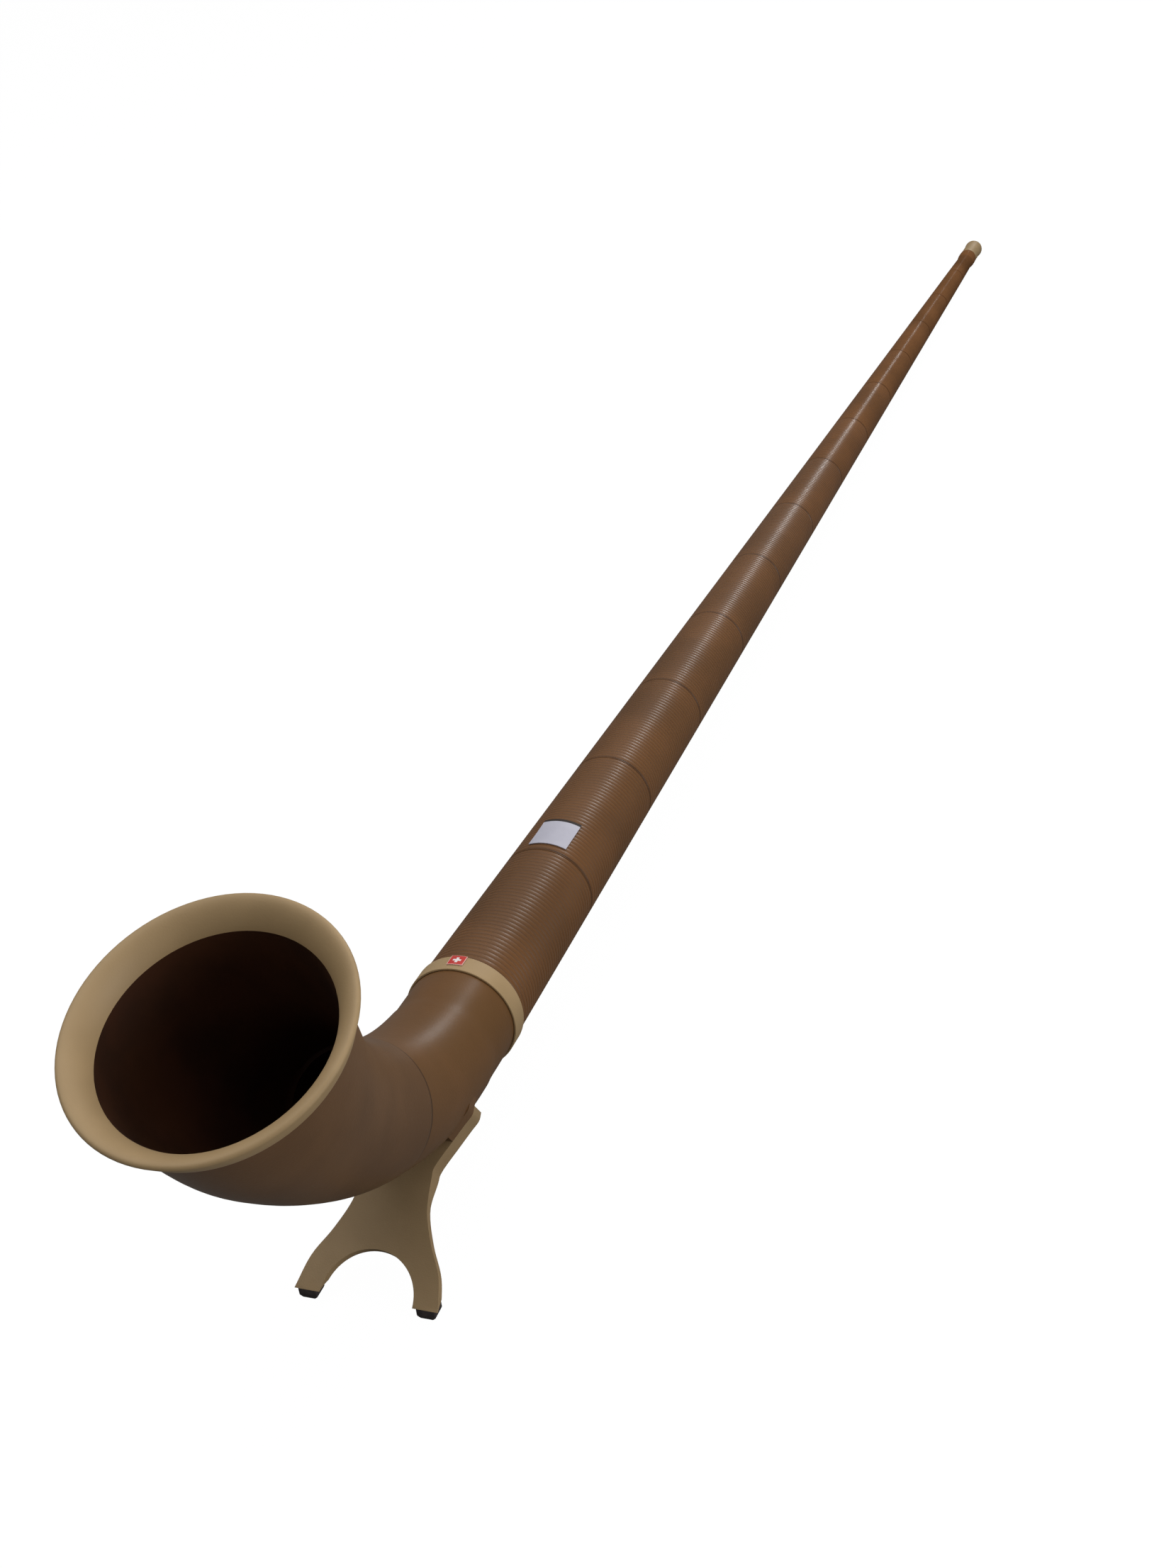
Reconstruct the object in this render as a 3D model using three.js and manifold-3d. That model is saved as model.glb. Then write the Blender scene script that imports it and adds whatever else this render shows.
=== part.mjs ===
// An alphorn that plugs together from short tapered tubes, with an upturned bell, a ball mouthpiece
// and a forked stand. It lies on the stand's foot pads and on the mouthpiece.
// Millimetres, +Z up, +Y from the bell towards the mouthpiece, +X to the right.
// The horn's own frame has its Y axis along the tubes and its zero where the first tube meets the collar.
import * as THREE from "three";
import { mergeVertices } from "three/addons/utils/BufferGeometryUtils.js";
import Module from "manifold-3d";

// Driving dimensions of the tubes
const SECTION_COUNT = 13;
const SECTION_LENGTH = 204;
const TUBE_WIDE_RADIUS = 50.9;
const TUBE_THIN_RADIUS = 17.2;
const TUBE_WAIST = 0.55;
const WALL_WIDE = 4;
const WALL_THIN = 8;

// Driving dimensions of the plug-in joints
const SPIGOT_DEPTH = 22;
const JOINT_GAP = 0.3;
const SEAL_WIDTH = 5;
const SEAL_GAP = 0.2;
const SEAL_SEAT_SHARE = 0.5;

// Driving dimensions of the collar and its badge
const COLLAR_LENGTH = 20;
const COLLAR_PROUD = 2.1;
const BADGE_WIDTH = 15;
const BADGE_LENGTH = 14;
const BADGE_TURN = -1.9;
const FILM_THICKNESS = 0.8;

// Driving dimensions of the bend, from the collar to the front of the rim
const NECK_LENGTH = 55.3;
const ELBOW_BEND_RADIUS = 317.4;
const ELBOW_TURN = 29.4;
const BELL_BEND_RADIUS = 412.3;
const BELL_TURN = 36.67;
const MOUTH_LENGTH = 22.2;

// Driving dimensions of the elbow and the bell
const NECK_STEP = 1.1;
const NECK_STEP_LENGTH = 10;
const ELBOW_GROWTH = 6.4;
const BELL_PROUD = 0.7;
const BELL_GROWTH = 33.2;
const BELL_WALL = 4.3;
const BELL_SPIGOT_DEPTH = 22;

// Driving dimensions of the rim
const RIM_DEPTH = 19.4;
const RIM_LIP_DEPTH = 3;
const RIM_FLARE = 17.8;
const RIM_EDGE = 2.8;
const RIM_OVERHANG = 9;

// Driving dimensions of the mouthpiece and its receiver
const RECEIVER_LENGTH = 172;
const RECEIVER_CUFF_LENGTH = 40;
const RECEIVER_STEP = 0.4;
const RECEIVER_CUFF_RADIUS = 17.2;
const SHANK_RADIUS = 8;
const SHANK_LENGTH = 34;
const MOUTHPIECE_NECK_RADIUS = 16.6;
const MOUTHPIECE_NECK_LENGTH = 60;
const BALL_RADIUS = 17.8;
const CUP_RADIUS = 9.5;
const CUP_DEPTH = 15;
const THROAT_RADIUS = 3;
const CUP_RIM_RADIUS = 12.5;

// Driving dimensions of the stand, its feet and its place under the elbow
const AXIS_HEIGHT = 113.6;
const STAND_LEAN = 55;
const FORK_PLACE = 122.4;
const FORK_DROP = 12.6;
const FOOT_HALF_WIDTH = 65;
const WAIST_HALF_WIDTH = 30.8;
const FORK_HALF_WIDTH = 53;
const STAND_THICKNESS = 8;
const FORK_THICKNESS = 18;
const ARCH_RADIUS = 42;
const WING_THICKNESS = 12;
const WING_REACH = 33;
const WING_RISE = 7;
const RIB_THICKNESS = 8;
const RIB_REACH = 48;
const RIB_HALF_WIDTH = 26;
const PAD_WIDTH = 17;
const PAD_HEIGHT = 10;
const PAD_CHAMFER = 3;

// Driving dimensions of the label on the second tube
const LABEL_LENGTH = 48;
const LABEL_WIDTH = 39.5;
const LABEL_TURN = 3.2;
const LABEL_OFFSET = 9.5;

// Facets round each kind of turned piece, and the overrun of every cut
const TUBE_SIDES = 20;
const BELL_SIDES = 40;
const BALL_STEPS = 8;
const BEND_STEP = 20;
const FILM_STEPS = 8;
const STAND_STEPS = 20;
const OVERRUN = 40;
const MERGE_DISTANCE = 0.001;

// How the bell widens: share of its length, then share of its growth
const BELL_FLARE_SHARES = [
  [0, 0],
  [0.18, 0.13],
  [0.37, 0.28],
  [0.56, 0.5],
  [0.75, 0.77],
  [1, 1],
];
// How the stand's half-width runs up its height, from the foot in to the waist and out to the fork
const LEG_SHARES = [
  [0, 1],
  [0.165, 0.795],
  [0.308, 0.404],
  [0.458, 0.1],
  [0.62, 0],
];
const ARM_SHARES = [
  [0.682, 0.03],
  [0.811, 0.48],
  [0.9, 0.8],
  [0.955, 1],
  [1, 1],
];
// Where the stand's back starts to swell, and where it is as thick as the fork
const SWELL_SHARES = [0.5, 0.64];
// A point on the cup's wall: share of its depth, then share of its width beyond the throat
const CUP_BOWL_SHARES = [0.6, 0.75];
// Steps round the rim's rolled edge and down its flare, and how far the flare is a curve, not a cone
const RIM_ROLL_STEPS = 3;
const RIM_FLARE_STEPS = 6;
const RIM_CURVE = 0.55;

// Lengths and places that follow from the driving dimensions
const TUBES_LENGTH = SECTION_COUNT * SECTION_LENGTH;
const ELBOW_ARC = ELBOW_BEND_RADIUS * radians(ELBOW_TURN);
const BELL_ARC = BELL_BEND_RADIUS * radians(BELL_TURN);
const SEAM = NECK_LENGTH + ELBOW_ARC;
const RIM_FRONT = SEAM + BELL_ARC + MOUTH_LENGTH;
const RIM_BACK = RIM_FRONT - RIM_DEPTH;
const RECEIVER_END = TUBES_LENGTH + RECEIVER_LENGTH;
const BALL_PLACE = RECEIVER_END + MOUTHPIECE_NECK_LENGTH + BALL_RADIUS;
const PAD_TOP = PAD_HEIGHT + JOINT_GAP;
const BALL_ANGLE = Math.atan2(BALL_RADIUS, BALL_PLACE);
const REST_TILT = Math.asin(AXIS_HEIGHT / Math.hypot(BALL_PLACE, BALL_RADIUS)) - BALL_ANGLE;
const FORK_HEIGHT = AXIS_HEIGHT - FORK_DROP * Math.cos(REST_TILT) + FORK_PLACE * Math.sin(REST_TILT);
const STAND_RISE = Math.PI / 2 - radians(STAND_LEAN) - REST_TILT;
const STAND_HEIGHT = (FORK_HEIGHT - PAD_TOP) / Math.sin(STAND_RISE);

const wasm = await Module();
wasm.setup();
const horn = new THREE.Group();
const floor = new THREE.Group();

// Colour, roughness and metalness of each material
const brownPlastic = plastic(0x6b4a31, 0.45);
const bellBrownPlastic = plastic(0x5f4b3a, 0.5);
const beigePlastic = plastic(0xaf966e, 0.55);
const sealRubber = plastic(0x1c1a19, 0.8);
const footRubber = plastic(0x32282a, 0.85);
const labelFilm = plastic(0xc8c8d7, 0.3);
const badgeRed = plastic(0xc83c32, 0.35);

function plastic(color, roughness) {
  return new THREE.MeshStandardMaterial({ color, roughness, metalness: 0 });
}

function radians(angle) {
  return (angle * Math.PI) / 180;
}

function mix(from, to, share) {
  return from + (to - from) * share;
}

// Solids: closed geometry in, closed geometry out

function solidOf(geometry) {
  const bare = geometry.clone();
  bare.deleteAttribute("normal");
  bare.deleteAttribute("uv");
  const merged = mergeVertices(bare, MERGE_DISTANCE);
  const vertProperties = merged.attributes.position.array;
  const triVerts = new Uint32Array(merged.index.array);
  return new wasm.Manifold(new wasm.Mesh({ numProp: 3, vertProperties, triVerts }));
}

function geometryOf(solid) {
  const { vertProperties, triVerts } = solid.getMesh();
  const geometry = new THREE.BufferGeometry();
  geometry.setAttribute("position", new THREE.BufferAttribute(vertProperties, 3));
  geometry.setIndex(new THREE.BufferAttribute(triVerts, 1));
  return geometry;
}

function piece(name, shape, material, group = horn) {
  const mesh = new THREE.Mesh(shape.isBufferGeometry ? shape : geometryOf(shape), material);
  mesh.name = name;
  group.add(mesh);
  return mesh;
}

// A turned piece about the Y axis from [radius, place] pairs that run round its closed section
function turned(points, sides) {
  const closed = [...points, points[0]].map(([radius, place]) => new THREE.Vector2(radius, place));
  return new THREE.LatheGeometry(closed, sides);
}

// A turned solid with no bore: its pairs start and end on the axis
function turnedSolid(points, sides) {
  const first = [0, points[0][1]];
  const last = [0, points[points.length - 1][1]];
  const outline = [first, ...points, last].map(([radius, place]) => new THREE.Vector2(radius, place));
  return new THREE.LatheGeometry(outline, sides);
}

// Radii of the tubes along their common axis

function tubeRadius(place) {
  const share = place / TUBES_LENGTH;
  return mix(TUBE_WIDE_RADIUS, TUBE_THIN_RADIUS, share) - 4 * TUBE_WAIST * share * (1 - share);
}

function tubeWall(place) {
  return mix(WALL_WIDE, WALL_THIN, place / TUBES_LENGTH);
}

function boreRadius(place) {
  return tubeRadius(place) - tubeWall(place);
}

// The spigot and the socket round it share the wall, less the gap between them
function joint(radius, wall) {
  const skin = (wall - JOINT_GAP) / 2;
  const socket = radius - skin;
  const spigot = socket - JOINT_GAP;
  const seat = spigot - skin * SEAL_SEAT_SHARE;
  return { socket, spigot, seat, bore: radius - wall };
}

function tubeJoint(place) {
  return joint(tubeRadius(place), tubeWall(place));
}

// The part of a closed section that plugs in: from the bore at the tip out to the shoulder
function spigotPoints({ spigot, seat, bore }, shoulder, depth) {
  const tip = shoulder - depth;
  const step = tip + SEAL_WIDTH + SEAL_GAP;
  return [
    [bore, tip],
    [seat, tip],
    [seat, step],
    [spigot, step],
    [spigot, shoulder],
  ];
}

function seal({ socket, seat }, shoulder, depth, sides) {
  const tip = shoulder - depth;
  return turned(
    [
      [seat + SEAL_GAP, tip],
      [socket - SEAL_GAP, tip],
      [socket - SEAL_GAP, tip + SEAL_WIDTH],
      [seat + SEAL_GAP, tip + SEAL_WIDTH],
    ],
    sides,
  );
}

// The tubes: each plugs its spigot into the piece before it and takes the next one in its thin end

function tube(start) {
  const end = start + SECTION_LENGTH - JOINT_GAP;
  const next = tubeJoint(end);
  return turned(
    [
      ...spigotPoints(tubeJoint(start), start, SPIGOT_DEPTH),
      [tubeRadius(start), start],
      [tubeRadius(end), end],
      [next.socket, end],
      [next.socket, end - SPIGOT_DEPTH],
      [next.bore, end - SPIGOT_DEPTH],
    ],
    TUBE_SIDES,
  );
}

function addTubes() {
  for (let index = 0; index < SECTION_COUNT; index++) {
    const start = index * SECTION_LENGTH;
    const number = String(index + 1).padStart(2, "0");
    piece("tube_" + number, tube(start), brownPlastic);
    piece("tube_seal_" + number, seal(tubeJoint(start), start, SPIGOT_DEPTH, TUBE_SIDES), sealRubber);
  }
}

// The receiver goes on from the last tube, thins a little and swells to a cuff round the mouthpiece
function addReceiver() {
  const start = TUBES_LENGTH;
  const first = tubeJoint(start);
  const cuff = RECEIVER_END - RECEIVER_CUFF_LENGTH;
  const waist = tubeRadius(cuff) - RECEIVER_STEP;
  const socket = SHANK_RADIUS + JOINT_GAP;
  const socketFloor = RECEIVER_END - SHANK_LENGTH - JOINT_GAP;
  const shape = turned(
    [
      ...spigotPoints(first, start, SPIGOT_DEPTH),
      [tubeRadius(start), start],
      [waist, cuff],
      [RECEIVER_CUFF_RADIUS, (cuff + RECEIVER_END) / 2],
      [RECEIVER_CUFF_RADIUS, RECEIVER_END],
      [socket, RECEIVER_END],
      [socket, socketFloor],
      [shankBore(), socketFloor],
    ],
    TUBE_SIDES,
  );
  piece("receiver", shape, brownPlastic);
  piece("receiver_seal", seal(first, start, SPIGOT_DEPTH, TUBE_SIDES), sealRubber);
}

// The bore of the shank, which the receiver carries on
function shankBore() {
  return (THROAT_RADIUS + SHANK_RADIUS) / 2;
}

// The mouthpiece: a shank in the receiver, a neck that swells to a ball, and a cup in the ball's end
function addMouthpiece() {
  const [bowlDepth, bowlWidth] = CUP_BOWL_SHARES;
  const start = RECEIVER_END + JOINT_GAP;
  const tip = RECEIVER_END - SHANK_LENGTH;
  const rimPlace = BALL_PLACE + Math.sqrt(BALL_RADIUS ** 2 - CUP_RIM_RADIUS ** 2);
  const neckAngle = Math.PI - Math.asin(MOUTHPIECE_NECK_RADIUS / BALL_RADIUS);
  const rimAngle = Math.asin(CUP_RIM_RADIUS / BALL_RADIUS);
  const ball = [];
  for (let step = 0; step <= BALL_STEPS; step++) {
    // the widest ring is always one of the steps, because the horn lies on it
    const half = BALL_STEPS / 2;
    const share = step <= half ? step / half : (step - half) / half;
    const from = step <= half ? neckAngle : Math.PI / 2;
    const to = step <= half ? Math.PI / 2 : rimAngle;
    const angle = mix(from, to, share);
    ball.push([BALL_RADIUS * Math.sin(angle), BALL_PLACE + BALL_RADIUS * Math.cos(angle)]);
  }
  const shape = turned(
    [
      [shankBore(), tip],
      [SHANK_RADIUS, tip],
      [SHANK_RADIUS, start],
      [MOUTHPIECE_NECK_RADIUS, start],
      ...ball,
      [CUP_RADIUS, rimPlace],
      [mix(THROAT_RADIUS, CUP_RADIUS, bowlWidth), rimPlace - CUP_DEPTH * bowlDepth],
      [THROAT_RADIUS, rimPlace - CUP_DEPTH],
    ],
    TUBE_SIDES,
  );
  piece("mouthpiece", shape, beigePlastic);
}

// The bend: the place, height and direction of the centreline, by its length from the collar

function station(place) {
  const stretches = [
    [NECK_LENGTH, 0],
    [ELBOW_ARC, radians(ELBOW_TURN)],
    [BELL_ARC, radians(BELL_TURN)],
    [Infinity, 0],
  ];
  let y = 0;
  let z = 0;
  let angle = 0;
  let left = place;
  for (const [length, turn] of stretches) {
    const run = Math.min(left, length);
    const half = (turn * run) / length / 2;
    const chord = half === 0 ? run : (run * Math.sin(half)) / half;
    y -= chord * Math.cos(angle + half);
    z += chord * Math.sin(angle + half);
    angle += 2 * half;
    left -= run;
    if (left <= 0) break;
  }
  return { y, z, angle };
}

// The frame of the centreline at a place: its Y axis runs on towards the rim
function frameAt(place) {
  const { y, z, angle } = station(place);
  const side = new THREE.Vector3(-1, 0, 0);
  const along = new THREE.Vector3(0, -Math.cos(angle), Math.sin(angle));
  const up = new THREE.Vector3(0, Math.sin(angle), Math.cos(angle));
  return new THREE.Matrix4().makeBasis(side, along, up).setPosition(0, y, z);
}

// Bends a piece turned about the Y axis so that its axis follows the centreline
function bent(geometry) {
  const position = geometry.getAttribute("position");
  const point = new THREE.Vector3();
  for (let index = 0; index < position.count; index++) {
    point.fromBufferAttribute(position, index);
    const frame = frameAt(point.y);
    point.y = 0;
    point.applyMatrix4(frame);
    position.setXYZ(index, point.x, point.y, point.z);
  }
  return geometry;
}

function straightAt(geometry, place) {
  return geometry.applyMatrix4(frameAt(place));
}

// [radius, place] pairs in even steps along a stretch of the bend
function stepped(from, to, radiusAt) {
  const steps = Math.max(1, Math.ceil((to - from) / BEND_STEP));
  return Array.from({ length: steps + 1 }, (_, step) => {
    const place = mix(from, to, step / steps);
    return [radiusAt(place), place];
  });
}

// The elbow, with the wings and the rib that hold the stand's fork between them

const ELBOW_END_RADIUS = TUBE_WIDE_RADIUS + NECK_STEP + ELBOW_GROWTH;
const STEP_START = NECK_LENGTH + NECK_STEP_LENGTH;
const STEP_END = STEP_START + NECK_STEP_LENGTH;

function elbowRadius(place) {
  return mix(TUBE_WIDE_RADIUS + NECK_STEP, ELBOW_END_RADIUS, (place - STEP_END) / (SEAM - STEP_END));
}

function elbowOutline(offset) {
  return [
    [TUBE_WIDE_RADIUS, COLLAR_LENGTH + 2 * JOINT_GAP],
    [TUBE_WIDE_RADIUS, NECK_LENGTH],
    [TUBE_WIDE_RADIUS, STEP_START],
    ...stepped(STEP_END, SEAM, elbowRadius),
  ].map(([radius, place]) => [radius + offset, place]);
}

function bellJoint() {
  const radius = ELBOW_END_RADIUS + BELL_PROUD;
  return joint(radius, BELL_WALL + BELL_PROUD);
}

function elbowBore(place) {
  return mix(boreRadius(0), bellJoint().bore, place / SEAM);
}

function addElbow() {
  const collarSeat = TUBE_WIDE_RADIUS - JOINT_GAP;
  const first = tubeJoint(0);
  const last = bellJoint();
  const outline = [
    [collarSeat, JOINT_GAP],
    [collarSeat, COLLAR_LENGTH + 2 * JOINT_GAP],
    ...elbowOutline(0),
  ];
  const step = BELL_SPIGOT_DEPTH - SEAL_WIDTH - SEAL_GAP;
  const spigot = [
    [last.spigot, -BELL_SPIGOT_DEPTH / 2],
    [last.spigot, step],
    [last.seat, step],
    [last.seat, BELL_SPIGOT_DEPTH],
  ];
  const bore = [
    [first.bore, JOINT_GAP],
    ...stepped(NECK_LENGTH, SEAM, elbowBore),
    [last.bore, SEAM + OVERRUN],
  ];
  const socket = [
    [first.socket, -OVERRUN],
    [first.socket, SPIGOT_DEPTH + JOINT_GAP],
  ];
  const shape = solidOf(bent(turnedSolid(outline, BELL_SIDES)))
    .add(solidOf(straightAt(turnedSolid(spigot, BELL_SIDES), SEAM)))
    .add(wings())
    .add(rib())
    .subtract(solidOf(bent(turnedSolid(bore, BELL_SIDES))))
    .subtract(solidOf(straightAt(turnedSolid(socket, TUBE_SIDES), 0)));
  piece("elbow", shape, brownPlastic);
}

function addCollar() {
  const near = -JOINT_GAP;
  const far = near - COLLAR_LENGTH;
  const outer = TUBE_WIDE_RADIUS + COLLAR_PROUD;
  const ring = turned(
    [
      [TUBE_WIDE_RADIUS, far],
      [outer, far],
      [outer, near],
      [TUBE_WIDE_RADIUS, near],
    ],
    BELL_SIDES,
  );
  piece("collar_ring", ring, beigePlastic);
  const badge = film(outer + JOINT_GAP, BADGE_WIDTH, BADGE_LENGTH);
  badge.rotateY(radians(BADGE_TURN));
  badge.translate(0, near - JOINT_GAP, 0);
  piece("collar_badge", badge, badgeRed);
}

// A thin plate that lies round the top of a tube, from zero back along -Y
function film(radius, width, length) {
  const half = width / radius / 2;
  const top = Math.PI / 2;
  const shape = new THREE.Shape();
  shape.absarc(0, 0, radius + FILM_THICKNESS, top - half, top + half, false);
  shape.absarc(0, 0, radius, top + half, top - half, true);
  const settings = { depth: length, bevelEnabled: false, curveSegments: FILM_STEPS };
  return new THREE.ExtrudeGeometry(shape, settings).rotateX(Math.PI / 2);
}

function addLabel() {
  const start = SECTION_LENGTH + LABEL_OFFSET;
  const end = start + LABEL_LENGTH;
  const taper = Math.atan((tubeRadius(start) - tubeRadius(end)) / LABEL_LENGTH);
  const label = film(tubeRadius(start) + JOINT_GAP, LABEL_WIDTH, LABEL_LENGTH);
  label.translate(0, LABEL_LENGTH, -tubeRadius(start));
  label.rotateX(-taper);
  label.translate(0, start, tubeRadius(start));
  label.rotateY(radians(LABEL_TURN));
  piece("label_plate", label, labelFilm);
}

// The bell: a flared body that takes the elbow's spigot, and the rim on its mouth

const BELL_MOUTH_RADIUS = ELBOW_END_RADIUS + BELL_PROUD + BELL_GROWTH;

// The flare from one radius to another as [radius, place] pairs on a smooth curve
function flare(from, to, start, end) {
  const knots = BELL_FLARE_SHARES.map(
    ([length, growth]) => new THREE.Vector2(mix(from, to, growth), mix(start, end, length)),
  );
  const steps = Math.ceil((end - start) / BEND_STEP);
  return new THREE.SplineCurve(knots).getPoints(steps).map((knot) => [knot.x, knot.y]);
}

function addBell() {
  const seam = bellJoint();
  const start = SEAM + JOINT_GAP;
  const end = RIM_BACK - JOINT_GAP;
  const outline = flare(ELBOW_END_RADIUS + BELL_PROUD, BELL_MOUTH_RADIUS, start, end);
  const mouthBore = BELL_MOUTH_RADIUS - BELL_WALL;
  const bore = [
    [seam.bore, SEAM - OVERRUN],
    ...flare(seam.bore, mouthBore, start, end),
    [mouthBore, end + OVERRUN],
  ];
  const socket = [
    [seam.socket, -OVERRUN],
    [seam.socket, BELL_SPIGOT_DEPTH + JOINT_GAP],
  ];
  const body = solidOf(bent(turnedSolid(outline, BELL_SIDES)))
    .subtract(solidOf(bent(turnedSolid(bore, BELL_SIDES))))
    .subtract(solidOf(straightAt(turnedSolid(socket, BELL_SIDES), SEAM)));
  piece("bell_body", body, bellBrownPlastic);
  const ring = turned(
    [
      [seam.seat + SEAL_GAP, BELL_SPIGOT_DEPTH - SEAL_WIDTH],
      [seam.socket - SEAL_GAP, BELL_SPIGOT_DEPTH - SEAL_WIDTH],
      [seam.socket - SEAL_GAP, BELL_SPIGOT_DEPTH],
      [seam.seat + SEAL_GAP, BELL_SPIGOT_DEPTH],
    ],
    BELL_SIDES,
  );
  piece("bell_seal", straightAt(ring, SEAM), sealRubber);
}

function addRim() {
  const inner = BELL_MOUTH_RADIUS - BELL_WALL;
  const lip = inner + RIM_FLARE;
  const section = [
    [inner, -RIM_DEPTH],
    [BELL_MOUTH_RADIUS + RIM_OVERHANG, -RIM_DEPTH],
  ];
  for (let step = 0; step < RIM_ROLL_STEPS; step += 1) {
    const turn = (Math.PI / 2) * (step / RIM_ROLL_STEPS);
    section.push([lip + RIM_EDGE * Math.cos(turn), RIM_LIP_DEPTH * (Math.sin(turn) - 1)]);
  }
  for (let step = 0; step < RIM_FLARE_STEPS; step += 1) {
    const turn = (Math.PI / 2) * (1 - step / RIM_FLARE_STEPS);
    const grown = mix(Math.sin(turn), 1 - Math.cos(turn), RIM_CURVE);
    section.push([inner + RIM_FLARE * grown, RIM_DEPTH * (Math.sin(turn) - 1)]);
  }
  piece("bell_rim", straightAt(turned(section, BELL_SIDES), RIM_FRONT), beigePlastic);
}

// The stand: a leaning plate with an arch between its legs and a fork round the elbow
// Its own frame: X across, Y up the plate from the foot, Z out of its front

function standFrame() {
  const lean = radians(STAND_LEAN);
  const across = new THREE.Vector3(1, 0, 0);
  const up = new THREE.Vector3(0, Math.sin(lean), Math.cos(lean));
  const front = new THREE.Vector3(0, -Math.cos(lean), Math.sin(lean));
  const foot = new THREE.Vector3(0, -FORK_PLACE, -FORK_DROP).addScaledVector(up, -STAND_HEIGHT);
  return new THREE.Matrix4().makeBasis(across, up, front).setPosition(foot);
}

// The right-hand edge from the foot to the top
function standEdge() {
  const knots = [
    ...LEG_SHARES.map(([rise, out]) => [rise, mix(WAIST_HALF_WIDTH, FOOT_HALF_WIDTH, out)]),
    ...ARM_SHARES.map(([rise, out]) => [rise, mix(WAIST_HALF_WIDTH, FORK_HALF_WIDTH, out)]),
  ].map(([rise, width]) => new THREE.Vector2(width, rise * STAND_HEIGHT));
  return new THREE.SplineCurve(knots).getPoints(STAND_STEPS);
}

function standBlank() {
  const edge = standEdge();
  const mirrored = edge.map(({ x, y }) => new THREE.Vector2(-x, y)).reverse();
  const shape = new THREE.Shape([
    new THREE.Vector2(ARCH_RADIUS, -ARCH_RADIUS),
    new THREE.Vector2(FOOT_HALF_WIDTH, -ARCH_RADIUS),
    ...edge,
    ...mirrored,
    new THREE.Vector2(-FOOT_HALF_WIDTH, -ARCH_RADIUS),
    new THREE.Vector2(-ARCH_RADIUS, -ARCH_RADIUS),
  ]);
  shape.absarc(0, 0, ARCH_RADIUS, Math.PI, 0, true);
  const settings = { depth: FORK_THICKNESS, bevelEnabled: false, curveSegments: STAND_STEPS };
  return new THREE.ExtrudeGeometry(shape, settings).translate(0, 0, -FORK_THICKNESS);
}

// The plate seen from its side, thin in the legs and thicker towards the fork
function standSide() {
  const [from, by] = SWELL_SHARES.map((share) => share * STAND_HEIGHT);
  const top = STAND_HEIGHT + OVERRUN;
  const shape = new THREE.Shape([
    new THREE.Vector2(-OVERRUN, -OVERRUN * 2),
    new THREE.Vector2(STAND_THICKNESS, -OVERRUN * 2),
    new THREE.Vector2(STAND_THICKNESS, from),
    new THREE.Vector2(FORK_THICKNESS, by),
    new THREE.Vector2(FORK_THICKNESS, top),
    new THREE.Vector2(-OVERRUN, top),
  ]);
  const width = 2 * (FOOT_HALF_WIDTH + FORK_HALF_WIDTH);
  const settings = { depth: width, bevelEnabled: false };
  return new THREE.ExtrudeGeometry(shape, settings).rotateY(Math.PI / 2).translate(-width / 2, 0, 0);
}

// A block in the stand's own frame from one height to the top, between two depths
function standBlock(shape, from, to) {
  const settings = { depth: to - from, bevelEnabled: false };
  const block = new THREE.ExtrudeGeometry(shape, settings).translate(0, 0, from);
  return solidOf(block.applyMatrix4(standFrame()));
}

// The wings on the elbow lie in front of the fork, share its outline and stand a little higher
function wings() {
  const bottom = STAND_HEIGHT - WING_REACH;
  const edge = standEdge().filter(({ y }) => y > bottom);
  const lowest = new THREE.Vector2(edge[0].x, bottom);
  const highest = new THREE.Vector2(FORK_HALF_WIDTH, STAND_HEIGHT + WING_RISE);
  const right = [lowest, ...edge, highest];
  const left = right.map(({ x, y }) => new THREE.Vector2(-x, y)).reverse();
  return standBlock(new THREE.Shape([...right, ...left]), JOINT_GAP, JOINT_GAP + WING_THICKNESS);
}

// The rib on the elbow lies behind the fork
function rib() {
  const top = STAND_HEIGHT;
  const bottom = top - RIB_REACH;
  const shape = new THREE.Shape([
    new THREE.Vector2(-RIB_HALF_WIDTH, bottom),
    new THREE.Vector2(RIB_HALF_WIDTH, bottom),
    new THREE.Vector2(RIB_HALF_WIDTH, top),
    new THREE.Vector2(-RIB_HALF_WIDTH, top),
  ]);
  const front = -FORK_THICKNESS - JOINT_GAP;
  return standBlock(shape, front - RIB_THICKNESS, front);
}

// Everything below a height above the floor, in the horn's frame
function belowFloorHeight(height) {
  const depth = STAND_HEIGHT;
  const size = 2 * (FOOT_HALF_WIDTH + STAND_HEIGHT + FORK_PLACE);
  const block = new THREE.BoxGeometry(size, 2 * size, depth).translate(0, 0, height - depth / 2);
  return solidOf(block.applyMatrix4(horn.matrix.clone().invert()));
}

function addStand() {
  const plate = standBlank().applyMatrix4(standFrame());
  const side = standSide().applyMatrix4(standFrame());
  const shape = solidOf(plate)
    .intersect(solidOf(side))
    .subtract(solidOf(bent(turnedSolid(elbowOutline(JOINT_GAP), BELL_SIDES))))
    .subtract(belowFloorHeight(PAD_TOP));
  piece("stand", shape, beigePlastic);
}

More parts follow.
